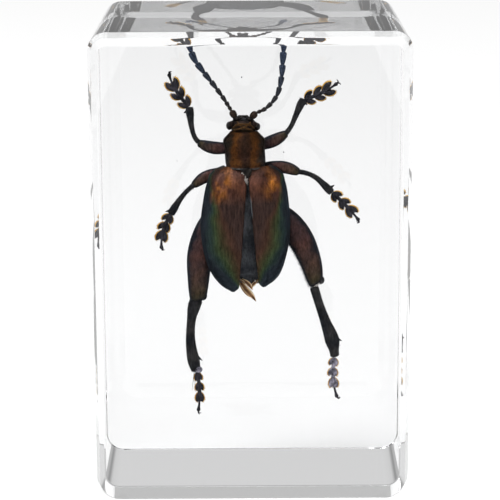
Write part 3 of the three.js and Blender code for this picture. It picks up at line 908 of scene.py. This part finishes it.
def antenna_material():
    """Brown black beads near the head, slate blue with fine down towards the tips."""
    material, tree, output = new_material("antenna_shell")
    grain = grain_in(tree, Pits=7000.0, Wrinkles=3400.0, Stretch=0.6)
    bead = loft_parts(tree)[2]
    colour = ramp_of(
        tree, bead, (0.0, srgb(50, 39, 33)), (0.12, srgb(50, 46, 44)), (0.45, srgb(54, 54, 58)),
        (0.7, srgb(58, 66, 82)), (1.0, srgb(66, 76, 98)),
    )
    flecked_shell(tree, output, colour, grain, roughness=0.5, metallic=0.3)
    return material


bead_skins = [bead for points in ANTENNAE for bead in antenna_skins(points)]
beetle_piece("antennae", bead_skins, antenna_material())

# --- Legs ---------------------------------------------------------------------------------
# Six legs, each a thigh swollen in the middle, a curved shin broader at its foot end, three split
# toe pads and a thin last joint with two hooked claws. The hind thighs are huge. Near black, with
# a painted reddish copper sheen on the thighs.

# Half-widths of the front thighs, and of the front and middle shins.
FRONT_THIGH = [
    (0, 0.3, 0.3), (0.3, 0.52, 0.46), (0.6, 0.6, 0.48), (0.84, 0.48, 0.4), (0.93, 0.38, 0.34),
    (1, 0.36, 0.3),
]
SLIM_SHIN = [(0, 0.25, 0.2), (0.2, 0.22, 0.19), (0.6, 0.28, 0.22), (0.9, 0.37, 0.25), (1, 0.33, 0.23)]
# Each leg: the thigh's path and half-widths (place along it, across, deep), the shin's the same,
# then the foot's path, the toe pads' half-width, length and splay, and which way its two claws hook.
LEGS = {
    "left_front": dict(
        thigh=[(-1.2, 0.8, 32.0), (-2.3, 0.6, 32.05), (-3.6, 0.45, 32.15), (-4.95, 0.4, 32.62)],
        thigh_size=FRONT_THIGH,
        shin=[(-4.85, 0.4, 32.6), (-5.25, 0.45, 33.2), (-5.5, 0.55, 34.1), (-5.62, 0.75, 35.1),
              (-5.7, 0.9, 35.95)],
        shin_size=SLIM_SHIN,
        foot=[(-5.6, 0.9, 35.8), (-7.2, 1.1, 37.45), (-7.58, 1.1, 39.1)],
        toe=0.3, pad=1.0, splay=1.0, claws=(0.9, 1.4),
    ),
    "right_front": dict(
        thigh=[(0.1, 0.8, 32.1), (1.3, 0.6, 32.45), (2.3, 0.45, 32.85), (3.4, 0.4, 33.5)],
        thigh_size=FRONT_THIGH,
        shin=[(3.25, 0.4, 33.4), (3.75, 0.45, 34.1), (4.2, 0.6, 35.1), (4.65, 0.8, 36.1),
              (4.95, 0.9, 36.65)],
        shin_size=SLIM_SHIN,
        foot=[(4.85, 0.9, 36.5), (6.9, 1.1, 37.15), (8.1, 1.1, 38.1)],
        toe=0.3, pad=1.0, splay=1.0, claws=(-0.75, 0.75),
    ),
    "left_middle": dict(
        thigh=[(-1.8, 0.9, 29.9), (-3.3, 0.7, 29.65), (-4.4, 0.6, 29.25), (-5.5, 0.5, 28.45)],
        thigh_size=[(0, 0.3, 0.3), (0.35, 0.5, 0.45), (0.65, 0.56, 0.46), (0.9, 0.4, 0.34),
                    (1, 0.28, 0.26)],
        shin=[(-5.35, 0.5, 28.6), (-6.1, 0.6, 27.9), (-6.8, 0.75, 27.0), (-7.3, 0.85, 26.2),
              (-7.6, 0.9, 25.7)],
        shin_size=SLIM_SHIN,
        foot=[(-7.5, 0.9, 25.85), (-8.6, 1.1, 24.2), (-8.5, 1.1, 22.3)],
        toe=0.28, pad=0.95, splay=0.85, claws=(-0.9, -1.5),
    ),
    "right_middle": dict(
        thigh=[(0.6, 0.9, 30.2), (2.2, 0.7, 30.3), (3.4, 0.6, 30.15), (4.6, 0.5, 29.7)],
        thigh_size=[(0, 0.3, 0.3), (0.35, 0.5, 0.45), (0.65, 0.58, 0.46), (0.9, 0.44, 0.36),
                    (1, 0.3, 0.26)],
        shin=[(4.45, 0.5, 29.8), (5.2, 0.55, 29.65), (6.1, 0.65, 29.2), (6.9, 0.8, 28.45),
              (7.6, 0.9, 27.7)],
        shin_size=SLIM_SHIN,
        foot=[(7.5, 0.9, 27.85), (9.2, 1.1, 26.3), (10.2, 1.1, 24.95)],
        toe=0.28, pad=0.95, splay=0.85, claws=(0.9, 1.4),
    ),
    "left_hind": dict(
        thigh=[(-2.9, 1.1, 26.7), (-4.15, 0.9, 24.4), (-4.85, 0.8, 21.9), (-5.02, 0.9, 19.4),
               (-5.08, 1.0, 17.1)],
        thigh_size=[(0, 0.6, 0.6), (0.22, 1.0, 0.95), (0.5, 1.2, 1.08), (0.75, 1.05, 0.95),
                    (0.92, 0.86, 0.74), (1, 0.72, 0.6)],
        shin=[(-5.22, 1.0, 17.5), (-5.56, 1.0, 16.4), (-5.8, 1.0, 14.9), (-5.83, 1.0, 13.0),
              (-5.62, 1.05, 11.5), (-5.34, 1.1, 10.2)],
        shin_size=[(0, 0.62, 0.45), (0.12, 0.6, 0.44), (0.26, 0.45, 0.38), (0.45, 0.42, 0.36),
                   (0.66, 0.5, 0.38), (0.86, 0.58, 0.42), (1, 0.42, 0.32)],
        foot=[(-5.3, 1.1, 10.35), (-4.85, 1.1, 8.2), (-5.2, 1.1, 6.2)],
        toe=0.24, pad=0.92, splay=0.62, claws=(-0.35, -0.9),
    ),
    "right_hind": dict(
        thigh=[(1.7, 1.1, 26.6), (3.5, 0.9, 25.0), (4.75, 0.8, 23.1), (5.6, 0.85, 21.1),
               (6.2, 1.0, 18.75)],
        thigh_size=[(0, 0.6, 0.6), (0.22, 1.05, 0.98), (0.45, 1.24, 1.1), (0.7, 1.08, 0.95),
                    (0.92, 0.82, 0.74), (1, 0.68, 0.55)],
        shin=[(5.92, 1.0, 18.62), (6.4, 1.0, 17.0), (7.05, 1.0, 15.1), (7.68, 1.05, 13.3),
              (7.97, 1.1, 11.6)],
        shin_size=[(0, 0.44, 0.34), (0.25, 0.42, 0.34), (0.5, 0.5, 0.38), (0.72, 0.68, 0.44),
                   (0.77, 0.7, 0.46), (0.84, 0.6, 0.42), (0.9, 0.48, 0.38), (1, 0.42, 0.32)],
        foot=[(7.95, 1.1, 11.75), (7.5, 1.1, 9.6), (8.2, 1.1, 7.5)],
        toe=0.25, pad=0.9, splay=0.7, claws=(-0.9, -1.3),
    ),
}
# The hind thighs' ends are cut aslant.
THIGH_SLANT = {"right_hind": -0.45, "left_hind": -0.3}
# Knobs at the hind knees: the right shin stands clear of its thigh, with its joint bare.
KNEE_KNOBS = [((6.56, 1.0, 19.25), (0.38, 0.42, 0.42)), ((-4.62, 1.0, 17.75), (0.4, 0.45, 0.45))]
LIMB_ROWS = 56
THIGH_SIDES = 36
SHIN_SIDES = 24
THIGH_SQUARENESS = 2.2
SHIN_SQUARENESS = 2.6
THIGH_ROUNDING = 0.06
SHIN_ROUNDING = 0.03
# The hip joints' half-sizes, and how far they lie behind the thighs' roots.
HIP_RADII = (0.62, 0.5, 0.45)
HIND_HIP_RADII = (1.0, 0.6, 0.62)
HIP_DEPTH = 0.35


def limb(path, sizes, sides, power, rounding, slant=0.0):
    """Rings of one limb part, its half-widths read from (place, across, deep), its far end cut aslant."""
    places = eased(LIMB_ROWS)
    size = smooth(sizes, places)
    ends = np.minimum(np.minimum(places, 1 - places) / rounding, 1)
    close = np.sqrt(np.clip(1 - (1 - ends) ** 2, 0.02, 1))
    return swept(path, places, size[:, 0] * close, size[:, 1] * close, sides, power, slant * places ** 6)


def facing(tree, x, y, z):
    """How far the shell faces along a direction fixed to the insect, from -1 to 1."""
    normal = node(tree, "ShaderNodeTexCoord").outputs["Normal"]
    directions = (normal, Vector((x, y, z)).normalized())
    return node(tree, "ShaderNodeVectorMath", {"operation": "DOT_PRODUCT"}, directions).outputs["Value"]


def thigh_material():
    """Thighs: near black at the ends and edges, with a painted reddish copper and olive sheen between."""
    material, tree, output = new_material("thigh_shell")
    grain = grain_in(tree, Pits=4200.0, Wrinkles=2300.0, Stretch=0.35, Mottle=800.0)
    patch = ramp_of(
        tree, loft_parts(tree)[0], (0.0, srgb(36, 34, 40)), (0.3, srgb(62, 50, 52)),
        (0.5, srgb(94, 64, 58)), (0.68, srgb(92, 70, 58)), (0.84, srgb(74, 66, 44)),
        (0.93, srgb(50, 44, 36)), (1.0, srgb(32, 31, 33)),
    )
    # The copper and olive show only where the thigh faces the front: a painted sheen.
    front = clouded(tree, facing(tree, 0, -1, 0), grain, 0.9)
    shown = node(tree, "ShaderNodeMapRange", Value=front, From_Min=0.62, From_Max=1.2)
    colour = blended(tree, shown.outputs[0], srgb(34, 36, 42), patch)
    flecked_shell(tree, output, colour, grain, roughness=0.5, metallic=0.6, bump=0.7)
    return material


thigh_rings, shin_rings = {}, {}
thigh_skins, shin_skins = [], []
for name, leg in LEGS.items():
    slant = THIGH_SLANT.get(name, 0.0)
    thigh_rings[name] = limb(
        leg["thigh"], leg["thigh_size"], THIGH_SIDES, THIGH_SQUARENESS, THIGH_ROUNDING, slant
    )
    shin_rings[name] = limb(leg["shin"], leg["shin_size"], SHIN_SIDES, SHIN_SQUARENESS, SHIN_ROUNDING)
    hip = knob(leg["thigh"][0] + DEPTH * HIP_DEPTH, HIND_HIP_RADII if "hind" in name else HIP_RADII)
    thigh_skins += [skin(thigh_rings[name]), skin(hip)]
    shin_skins.append(skin(shin_rings[name]))
shin_skins += [skin(knob(*shape)) for shape in KNEE_KNOBS]
beetle_piece("thighs", thigh_skins, thigh_material())

# Each shin has a short spur near its foot end, longest on the hind legs: its root and its tip.
SPUR_RADIUS = 0.17
SPURS = {
    "left_front": ((-5.9, 0.9, 35.55), (-6.25, 0.95, 35.35)),
    "right_front": ((5.0, 0.9, 36.3), (5.3, 0.95, 36.05)),
    "left_middle": ((-7.55, 0.95, 26.1), (-8.1, 0.95, 25.95)),
    "right_middle": ((7.45, 0.95, 28.2), (7.85, 0.95, 28.45)),
    "left_hind": ((-5.3, 1.05, 11.8), (-4.72, 1.05, 11.3)),
    "right_hind": ((8.1, 1.05, 13.5), (8.62, 1.05, 13.2)),
}


def spike(root, tip, radius, rows=14, sides=10):
    """A tapering point from root to tip."""
    root, tip = np.array(root, float), np.array(tip, float)
    places = np.linspace(0, 1, rows)
    width = radius * (1 - places) ** 0.8 + 0.006
    return swept([root, (root + tip) / 2, tip], places, width, width * 0.85, sides)


shin_skins += [skin(spike(root, tip, SPUR_RADIUS)) for root, tip in SPURS.values()]
leg_shell = dark_shell(
    "leg_shell", srgb(28, 30, 36), srgb(56, 55, 55), roughness=0.5, pits=4200.0, bump=0.6
)
beetle_piece("shins", shin_skins, leg_shell)

# --- Feet ---------------------------------------------------------------------------------
# Three toe pads, each split into two lobes: black above, with a sole of dense golden bristles
# that stands out round the lobes as a fringe. Then the last joint, and two hooked claws.

# The pads' places along the foot, and their growth from the first to the last.
PAD_START = 0.06
PAD_STEP = 0.228
PAD_GROWTH = (0.9, 0.95, 1.05)
PAD_LENGTHS = (0.84, 0.88, 1.08)
# A lobe's outline: place along it, then half-width. LOBE_WIDTH is its share of the pad's.
LOBE = [(0, 0.55), (0.22, 0.85), (0.5, 1.0), (0.75, 0.88), (0.92, 0.5), (1, 0.15)]
LOBE_ROWS = 22
LOBE_SIDES = 20
LOBE_WIDTH = 0.85
LOBE_DEPTH_SHARE = 0.5
# Where along a lobe it bows, how far out there, in half-widths and as a share of its spread, and
# how far its tip lies behind its base.
LOBE_BOW_PLACE = 0.42
LOBE_BOW = (0.25, 0.5)
LOBE_TIP_DEPTH = 0.05
# How far each pad's lobes stand apart at their tips, in half-widths. The last pad is a wide heart.
LOBE_SPREAD = (2.25, 2.25, 1.8)
# A sole against its lobe: broader, longer, closer to the foot's line, lower and flatter.
SOLE_WIDTH = 1.22
SOLE_LENGTH = 1.05
SOLE_SPREAD = 0.95
SOLE_DROP = 0.09
SOLE_DEPTH_SHARE = 0.3
# The stalk that carries both lobes.
CORE_RADIUS = 0.18
CORE_ROWS = 8
CORE_SIDES = 12
# The last joint: place along it, then half-width. Then its start, middle and end along the foot.
LAST_JOINT = [(0, 0.09), (0.45, 0.1), (0.8, 0.14), (0.92, 0.19), (1, 0.13)]
LAST_JOINT_PLACES = (len(PAD_LENGTHS) * PAD_STEP - 0.12, 0.8, 0.985)
LAST_JOINT_ROWS = 20
LAST_JOINT_SIDES = 14
CLAW_RADIUS = 0.085
CLAW_REACH = 0.26
CLAW_GAP = 0.07
CLAW_ROWS = 18
CLAW_SIDES = 10
# How far a claw turns away at its root and beyond its knee, as shares of its hook.
CLAW_TURNS = (0.35, 1.9)
FRINGE_HAIRS = 60
FRINGE_LENGTH = 0.17
FRINGE_RADIUS = 0.012
FRINGE_ROWS = (5, LOBE_ROWS - 1)
FRINGE_COMBING = 0.9
chance = np.random.default_rng(7)


def foot_line(leg, places):
    """Points and directions along the foot, a curve from the ankle round the turn to the claws."""
    ankle, turn, tip = (np.array(p, float) for p in leg["foot"])
    t = np.asarray(places, float)[:, None]
    point = (1 - t) ** 2 * ankle + 2 * t * (1 - t) * turn + t * t * tip
    way = 2 * (1 - t) * (turn - ankle) + 2 * t * (tip - turn)
    return point, way / np.linalg.norm(way, axis=1)[:, None]


def turned(way, angle):
    """A direction turned about the depth axis."""
    cosine, sine = math.cos(angle), math.sin(angle)
    return np.array([way[0] * cosine + way[2] * sine, way[1], way[2] * cosine - way[0] * sine])


def lobe_rings(base, way, side, width, length, spread, depth, drop=0.0):
    """One lobe of a toe pad: a pointed leaf that bows outwards from the foot's line."""
    out = turned(way, side * math.pi / 2)
    bow = LOBE_BOW[0] + LOBE_BOW[1] * spread
    middle = base + way * length * LOBE_BOW_PLACE + out * width * bow
    end = base + way * length + out * width * spread + DEPTH * LOBE_TIP_DEPTH
    places = eased(LOBE_ROWS)
    half = width * smooth(LOBE, places)[:, 0]
    path = [point + DEPTH * drop for point in (base, middle, end)]
    return swept(path, places, half, half * depth + 0.015, LOBE_SIDES)


def hairs(roots, ways, lengths, radius):
    """Fine three-sided points standing on roots along ways, as one skin."""
    roots, ways = np.asarray(roots, float), np.asarray(ways, float)
    ways = ways / np.linalg.norm(ways, axis=1)[:, None]
    aside = np.cross(ways, np.array([0.3, 0.9, 0.3]))
    aside /= np.linalg.norm(aside, axis=1)[:, None]
    above = np.cross(ways, aside)
    points, faces = [], []
    for turn in (0, 2 * math.pi / 3, 4 * math.pi / 3):
        points.append(roots + radius * (math.cos(turn) * aside + math.sin(turn) * above))
    points.append(roots + ways * np.asarray(lengths)[:, None])
    verts = np.stack(points, 1).reshape(-1, 3)
    for i in range(len(roots)):
        a = 4 * i
        faces += [(a, a + 1, a + 3), (a + 1, a + 2, a + 3), (a + 2, a, a + 3), (a + 2, a + 1, a)]
    return verts, faces, np.tile([0.0, 0.0, 0.0], (len(verts), 1))


def fringe(sole, way, growth):
    """Bristles that stand out from both edges of a sole, combed towards the claws."""
    row = chance.integers(*FRINGE_ROWS, FRINGE_HAIRS)
    edge = np.where(chance.random(FRINGE_HAIRS) < 0.5, 0, LOBE_SIDES // 2)
    roots = sole[row, edge]
    out = roots - sole[row].mean(1)
    out /= np.linalg.norm(out, axis=1)[:, None]
    lean = out + way * FRINGE_COMBING + chance.normal(0, 0.18, (FRINGE_HAIRS, 3))
    lengths = FRINGE_LENGTH * growth * chance.uniform(0.6, 1.1, FRINGE_HAIRS)
    return hairs(roots - out * 0.03, lean, lengths, FRINGE_RADIUS)


def claw_rings(root, way, hook):
    """One claw, bent from the last joint's way by its hook."""
    knee = root + turned(way, hook * CLAW_TURNS[0]) * CLAW_REACH
    point = knee + turned(way, hook * CLAW_TURNS[1]) * CLAW_REACH
    places = np.linspace(0, 1, CLAW_ROWS)
    width = CLAW_RADIUS * (1 - places) ** 0.6 + 0.005
    return swept([root, knee, point], places, width, width, CLAW_SIDES)


pad_skins, dusty_skins, sole_skins, claw_skins, fringe_skins = [], [], [], [], []
for name, leg in LEGS.items():
    upper_skins = dusty_skins if name == "right_hind" else pad_skins
    for number, growth in enumerate(PAD_GROWTH):
        place = PAD_START + number * PAD_STEP
        (base, after), (way, _) = foot_line(leg, [place, place + PAD_STEP])
        core = np.full(CORE_ROWS, CORE_RADIUS)
        stalk = [base - way * 0.05, (base + after) / 2, after]
        upper_skins.append(skin(swept(stalk, eased(CORE_ROWS), core, core * 0.8, CORE_SIDES)))
        width, length = leg["toe"] * growth * LOBE_WIDTH, leg["pad"] * PAD_LENGTHS[number]
        spread = LOBE_SPREAD[number] * leg["splay"]
        for side in (-1, 1):
            upper_skins.append(skin(lobe_rings(base, way, side, width, length, spread, LOBE_DEPTH_SHARE)))
            sole = lobe_rings(
                base, way, side, width * SOLE_WIDTH, length * SOLE_LENGTH, spread * SOLE_SPREAD,
                SOLE_DEPTH_SHARE, SOLE_DROP,
            )
            sole_skins.append(skin(sole))
            fringe_skins.append(fringe(sole, way, growth))
    (start, middle, tip), (_, _, way) = foot_line(leg, LAST_JOINT_PLACES)
    places = eased(LAST_JOINT_ROWS)
    joint = smooth(LAST_JOINT, places)[:, 0]
    joint_rings = swept([start, middle, tip], places, joint, joint * 0.9, LAST_JOINT_SIDES)
    claw_skins.append(skin(joint_rings))
    for side, hook in zip((1, -1), leg["claws"]):
        claw_skins.append(skin(claw_rings(tip - way * 0.1 + DEPTH * CLAW_GAP * side, way, hook)))


def bristle_material():
    """Golden bristles, paler in cloudy patches."""
    material, tree, output = new_material("bristle")
    grain = grain_in(tree, Pits=9000.0, Mottle=2500.0)
    tone = ramp_of(tree, grain["Mottle"], (0.3, srgb(168, 116, 34)), (0.7, srgb(238, 194, 98)))
    surface(
        tree, output, tone, grain["Height"], 0.5, 0.02, Roughness=0.55, Specular_IOR_Level=0.2
    )
    return material


bristle = bristle_material()
toe_shell = dark_shell(
    "toe_shell", srgb(34, 34, 38), srgb(64, 62, 68), roughness=0.5, pits=6000.0, bump=0.6
)
beetle_piece("toe_pads", pad_skins, toe_shell)
beetle_piece("toe_soles", sole_skins, bristle)
beetle_piece("toe_fringes", fringe_skins, bristle)
beetle_piece("claws", claw_skins, toe_shell)

# The right hind pads have gone pale, and so has the left hind ankle.
PALE_ANKLE = ((-5.1, 0.95, 10.45), (0.36, 0.42, 0.32))
dusty_skins.append(skin(knob(*PALE_ANKLE)))
dusty_shell = dark_shell(
    "dusty_shell", srgb(40, 40, 46), srgb(170, 166, 182), roughness=0.6, pits=6000.0, mottle=2000.0
)
beetle_piece("dusty_pads", dusty_skins, dusty_shell)

# --- Leg hairs ----------------------------------------------------------------------------
# Short dark bristles on the shins and two long ones at the left hind ankle, and a pale grey fuzz
# along the inner edge of the right hind thigh, its grey partly a painted shade beside that edge.

SHIN_HAIRS = 110
SHIN_HAIR_LENGTH = 0.24
FUZZ_HAIRS = 900
FUZZ_LENGTH = 0.34
FINE_HAIR_RADIUS = 0.009
# Which rows of a limb's rings carry hairs, and which columns: a shin's edges and front, and the
# thigh's inner edge.
SHIN_HAIR_ROWS = (8, 52)
SHIN_HAIR_COLUMNS = (22, 23, 0, 1, 2, 10, 11, 12, 13, 14, 17, 18, 19)
FUZZ_ROWS = (22, 53)
FUZZ_COLUMNS = range(14, 22)
LONG_BRISTLES = [((-5.5, 1.0, 10.5), (-5.78, 1.0, 8.3)), ((-5.4, 0.9, 10.3), (-5.5, 0.9, 8.8))]
LONG_BRISTLE_RADIUS = 0.03
SHIN_HAIR_COMBING = 0.9
FUZZ_COMBING = 0.5


def edge_hairs(rings, count, rows, columns, longest, combing):
    """Hairs that stand on a limb at chosen rows and columns of its rings, combed along it."""
    row = chance.integers(*rows, count)
    column = chance.choice(columns, count)
    roots = rings[row, column]
    out = roots - rings[row].mean(1)
    out /= np.linalg.norm(out, axis=1)[:, None]
    ahead = rings[np.minimum(row + 1, len(rings) - 1)].mean(1) - rings[row - 1].mean(1)
    ahead /= np.linalg.norm(ahead, axis=1)[:, None]
    ways = out + ahead * combing + chance.normal(0, 0.25, (count, 3))
    return hairs(roots - out * 0.02, ways, longest * chance.uniform(0.4, 1.0, count), FINE_HAIR_RADIUS)


shin_hair_skins = [
    edge_hairs(
        shin, SHIN_HAIRS, SHIN_HAIR_ROWS, SHIN_HAIR_COLUMNS, SHIN_HAIR_LENGTH, SHIN_HAIR_COMBING
    )
    for shin in shin_rings.values()
]
shin_hair_skins += [skin(spike(root, tip, LONG_BRISTLE_RADIUS)) for root, tip in LONG_BRISTLES]
beetle_piece("shin_hairs", shin_hair_skins, leg_shell)

fuzz_skin = edge_hairs(
    thigh_rings["right_hind"], FUZZ_HAIRS, FUZZ_ROWS, FUZZ_COLUMNS, FUZZ_LENGTH, FUZZ_COMBING
)
# The grey of the fuzz also paints the soft shade beside the thigh's edge.
fuzz_and_shade_shell = dark_shell("fuzz", srgb(120, 120, 122), srgb(190, 190, 192), roughness=0.6, metallic=0.0)
beetle_piece("thigh_fuzz", [fuzz_skin], fuzz_and_shade_shell)

# --- Torn tip -----------------------------------------------------------------------------
# The belly's tip has split, and thin dried shreds of wing membrane and shell hang out of it, amber
# with cream edges.

# Each shred: its path, then half-width and half-thickness.
SHREDS = [
    ([(-1.15, -0.6, 19.55), (-0.55, -0.85, 18.75), (0.0, -0.8, 18.1), (0.42, -0.6, 17.45)], 0.27, 0.05),
    ([(-1.2, -0.5, 19.3), (-0.75, -0.6, 18.6), (-0.25, -0.5, 18.0), (0.1, -0.4, 17.75)], 0.15, 0.03),
    ([(-0.9, -1.0, 19.7), (-0.5, -1.15, 19.45), (-0.1, -1.0, 19.0), (0.1, -0.8, 18.6)], 0.2, 0.035),
    ([(0.6, -0.9, 19.6), (0.3, -1.05, 19.3), (0.05, -0.95, 18.95), (0.0, -0.9, 18.75)], 0.16, 0.03),
    ([(-1.1, -1.2, 19.75), (-0.95, -1.3, 19.6), (-0.75, -1.3, 19.5), (-0.6, -1.2, 19.5)], 0.09, 0.03),
]
SHRED_SHAPE = [(0, 0.4), (0.3, 0.9), (0.6, 1.0), (0.85, 0.55), (1, 0.08)]
SHRED_ROWS = 30


def membrane_material():
    """Dried membrane: amber, cream at the thin edges and brown along the middle."""
    material, tree, output = new_material("membrane")
    # Across is 1 at a shred's two edges and -1 along the middle of both its faces.
    across = math_node(tree, "COSINE", math_node(tree, "MULTIPLY", loft_parts(tree)[1], 4 * math.pi))
    grain = grain_in(tree, Mottle=1500.0)
    mixed = math_node(tree, "ADD", math_node(tree, "MULTIPLY", across, 0.35), grain["Mottle"])
    tone = ramp_of(
        tree, mixed, (0.12, srgb(84, 60, 46)), (0.34, srgb(150, 108, 70)), (0.54, srgb(216, 176, 124)),
        (0.76, srgb(246, 230, 200)),
    )
    surface(
        tree, output, tone, grain["Height"], 0.5, 0.04, Roughness=0.5, Specular_IOR_Level=0.2
    )
    return material


shred_skins = []
for path, half, thick in SHREDS:
    places = eased(SHRED_ROWS)
    shape = smooth(SHRED_SHAPE, places)[:, 0]
    shred_skins.append(skin(swept(path, places, half * shape, thick * (0.3 + 0.7 * shape))))
beetle_piece("shreds", shred_skins, membrane_material())

# --- Crumbs -------------------------------------------------------------------------------
# Pale crumbs of dried tissue at the wing hinge, the broken knee and the torn tip, and a few
# specks of dust that the resin caught as it set.

# Each crumb: centre, then half-size.
CRUMBS = [
    ((-0.37, -2.55, 29.22), 0.13), ((-0.45, -2.55, 29.42), 0.14), ((-0.5, -2.5, 29.68), 0.1),
    ((-0.33, -2.52, 29.52), 0.08), ((-0.8, -2.4, 30.06), 0.09), ((-0.68, -2.45, 29.95), 0.06),
    ((-0.3, -2.5, 28.98), 0.06),
    ((6.2, 0.7, 18.82), 0.16), ((6.42, 0.7, 18.95), 0.1), ((6.0, 0.7, 18.72), 0.09),
    ((-1.2, -1.3, 19.62), 0.08), ((0.35, -1.2, 19.55), 0.09), ((0.62, -1.1, 19.42), 0.07),
]
SPECKS = [((-0.8, -1.5, 38.95), 0.07), ((3.05, -1.0, 31.85), 0.06), ((-6.9, 0.4, 30.9), 0.04)]
CRUMB_ROWS = 10
CRUMB_SIDES = 14
# The least and the most that a grain's spots and its half-sizes vary from the given size.
LUMPINESS = (0.5, 1.4)
CRUMB_STRETCH = (0.6, 1.2)


def crumb_skin(centre, size):
    """A small lumpy grain, no two alike."""
    lumps = chance.uniform(*LUMPINESS, (CRUMB_ROWS, CRUMB_SIDES, 1))
    lumps = (lumps + np.roll(lumps, 1, 1)) / 2
    radii = size * chance.uniform(*CRUMB_STRETCH, 3)
    ball = np.array(knob((0, 0, 0), radii, CRUMB_SIDES, CRUMB_ROWS))
    return skin(ball * lumps + np.array(centre))


tissue = dark_shell("dried_tissue", srgb(120, 114, 110), srgb(214, 208, 200), roughness=0.6, metallic=0.0)
beetle_piece("crumbs", [crumb_skin(*shape) for shape in CRUMBS], tissue)
dust = dark_shell("dust", srgb(96, 96, 100), srgb(150, 150, 152), roughness=0.7, metallic=0.0)
beetle_piece("specks", [crumb_skin(*shape) for shape in SPECKS], dust)

# --- Floor and light ----------------------------------------------------------------------
# A pale table and a soft studio dome, brightest overhead. A black card before the block keeps
# the bright table's reflection off its front face, and only reflections show it.

FLOOR_SIZE = 6000
FLOOR_GAP = 0.02
FLOOR_COLOUR = (0.9, 0.9, 0.9, 1)
CARD_WIDTH = 60
CARD_NEAR, CARD_FAR = -13, -600
CARD_COLOUR = (0.02, 0.02, 0.02, 1)
SKY_STRENGTH = 1.58
LAMP_SIZE = 260
LAMP_POWER = 1.6
LAMP_PLACE = (-190, -210, 520)


def stage_plate(name, width, low_y, high_y, shader, **paint):
    """A flat plate of the set, not of the specimen, with a plain finish."""
    mesh = bpy.data.meshes.new(name)
    half = width / 2
    corners = [(-half, low_y, 0), (half, low_y, 0), (half, high_y, 0), (-half, high_y, 0)]
    mesh.from_pydata((np.array(corners) * MM).tolist(), [], [(0, 1, 2, 3)])
    plate = bpy.data.objects.new(name, mesh)
    bpy.context.scene.collection.objects.link(plate)
    plate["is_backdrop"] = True
    material, tree, output = new_material(name)
    finish = node(tree, shader, **paint)
    tree.links.new(finish.outputs[0], output.inputs["Surface"])
    mesh.materials.append(material)
    return plate


floor = stage_plate(
    "floor", FLOOR_SIZE, -FLOOR_SIZE / 2, FLOOR_SIZE / 2, "ShaderNodeBsdfPrincipled",
    Base_Color=FLOOR_COLOUR, Roughness=0.8, Specular_IOR_Level=0.0,
)
floor.location.z = -FLOOR_GAP * MM
card = stage_plate(
    "black_card", CARD_WIDTH, CARD_FAR, CARD_NEAR, "ShaderNodeBsdfDiffuse", Color=CARD_COLOUR
)
card.visible_camera = card.visible_diffuse = card.visible_shadow = False
card.visible_transmission = card.visible_volume_scatter = False

# Soft daylight dome: grey low down, white overhead, and darker on the viewer's side.
world = bpy.data.worlds.new("studio")
bpy.context.scene.world = world
world.use_nodes = True
sky = world.node_tree
sky.nodes.clear()
direction = node(sky, "ShaderNodeTexCoord").outputs["Generated"]
parts = node(sky, "ShaderNodeSeparateXYZ", Vector=direction)
rise = grey_ramp(
    sky, parts.outputs["Z"], (0.0, 0.34), (0.08, 0.34), (0.13, 0.23), (0.16, 0.23), (0.24, 0.44),
    (0.4, 0.5), (1.0, 0.8),
)
shade = node(
    sky, "ShaderNodeMapRange", Value=parts.outputs["Y"], From_Min=-1.0, From_Max=0.1, To_Min=0.7, To_Max=1.0
)
strength = math_node(sky, "MULTIPLY", shade.outputs[0], SKY_STRENGTH)
glow = node(sky, "ShaderNodeBackground", Color=rise, Strength=strength)
sky_output = sky.nodes.new("ShaderNodeOutputWorld")
sky.links.new(glow.outputs[0], sky_output.inputs["Surface"])

# A wide soft lamp, up to the left and in front.
lamp_data = bpy.data.lights.new("soft_lamp", "AREA")
lamp_data.shape = "DISK"
lamp_data.size = LAMP_SIZE * MM
lamp_data.energy = LAMP_POWER
lamp = bpy.data.objects.new("soft_lamp", lamp_data)
bpy.context.scene.collection.objects.link(lamp)
lamp.location = Vector(LAMP_PLACE) * MM
lamp.rotation_euler = (-lamp.location).to_track_quat("-Z", "Y").to_euler()

# Light passes many faces and bounces on its way through the resin.
LIGHT_BOUNCES = 24
CLEAR_BOUNCES = 16
scene = bpy.context.scene
scene.view_settings.view_transform = "Standard"
scene.cycles.max_bounces = scene.cycles.transmission_bounces = LIGHT_BOUNCES
scene.cycles.transparent_max_bounces = CLEAR_BOUNCES

size = {"cad": [list(v) for v in cad_box], "visual": [list(v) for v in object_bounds()]}
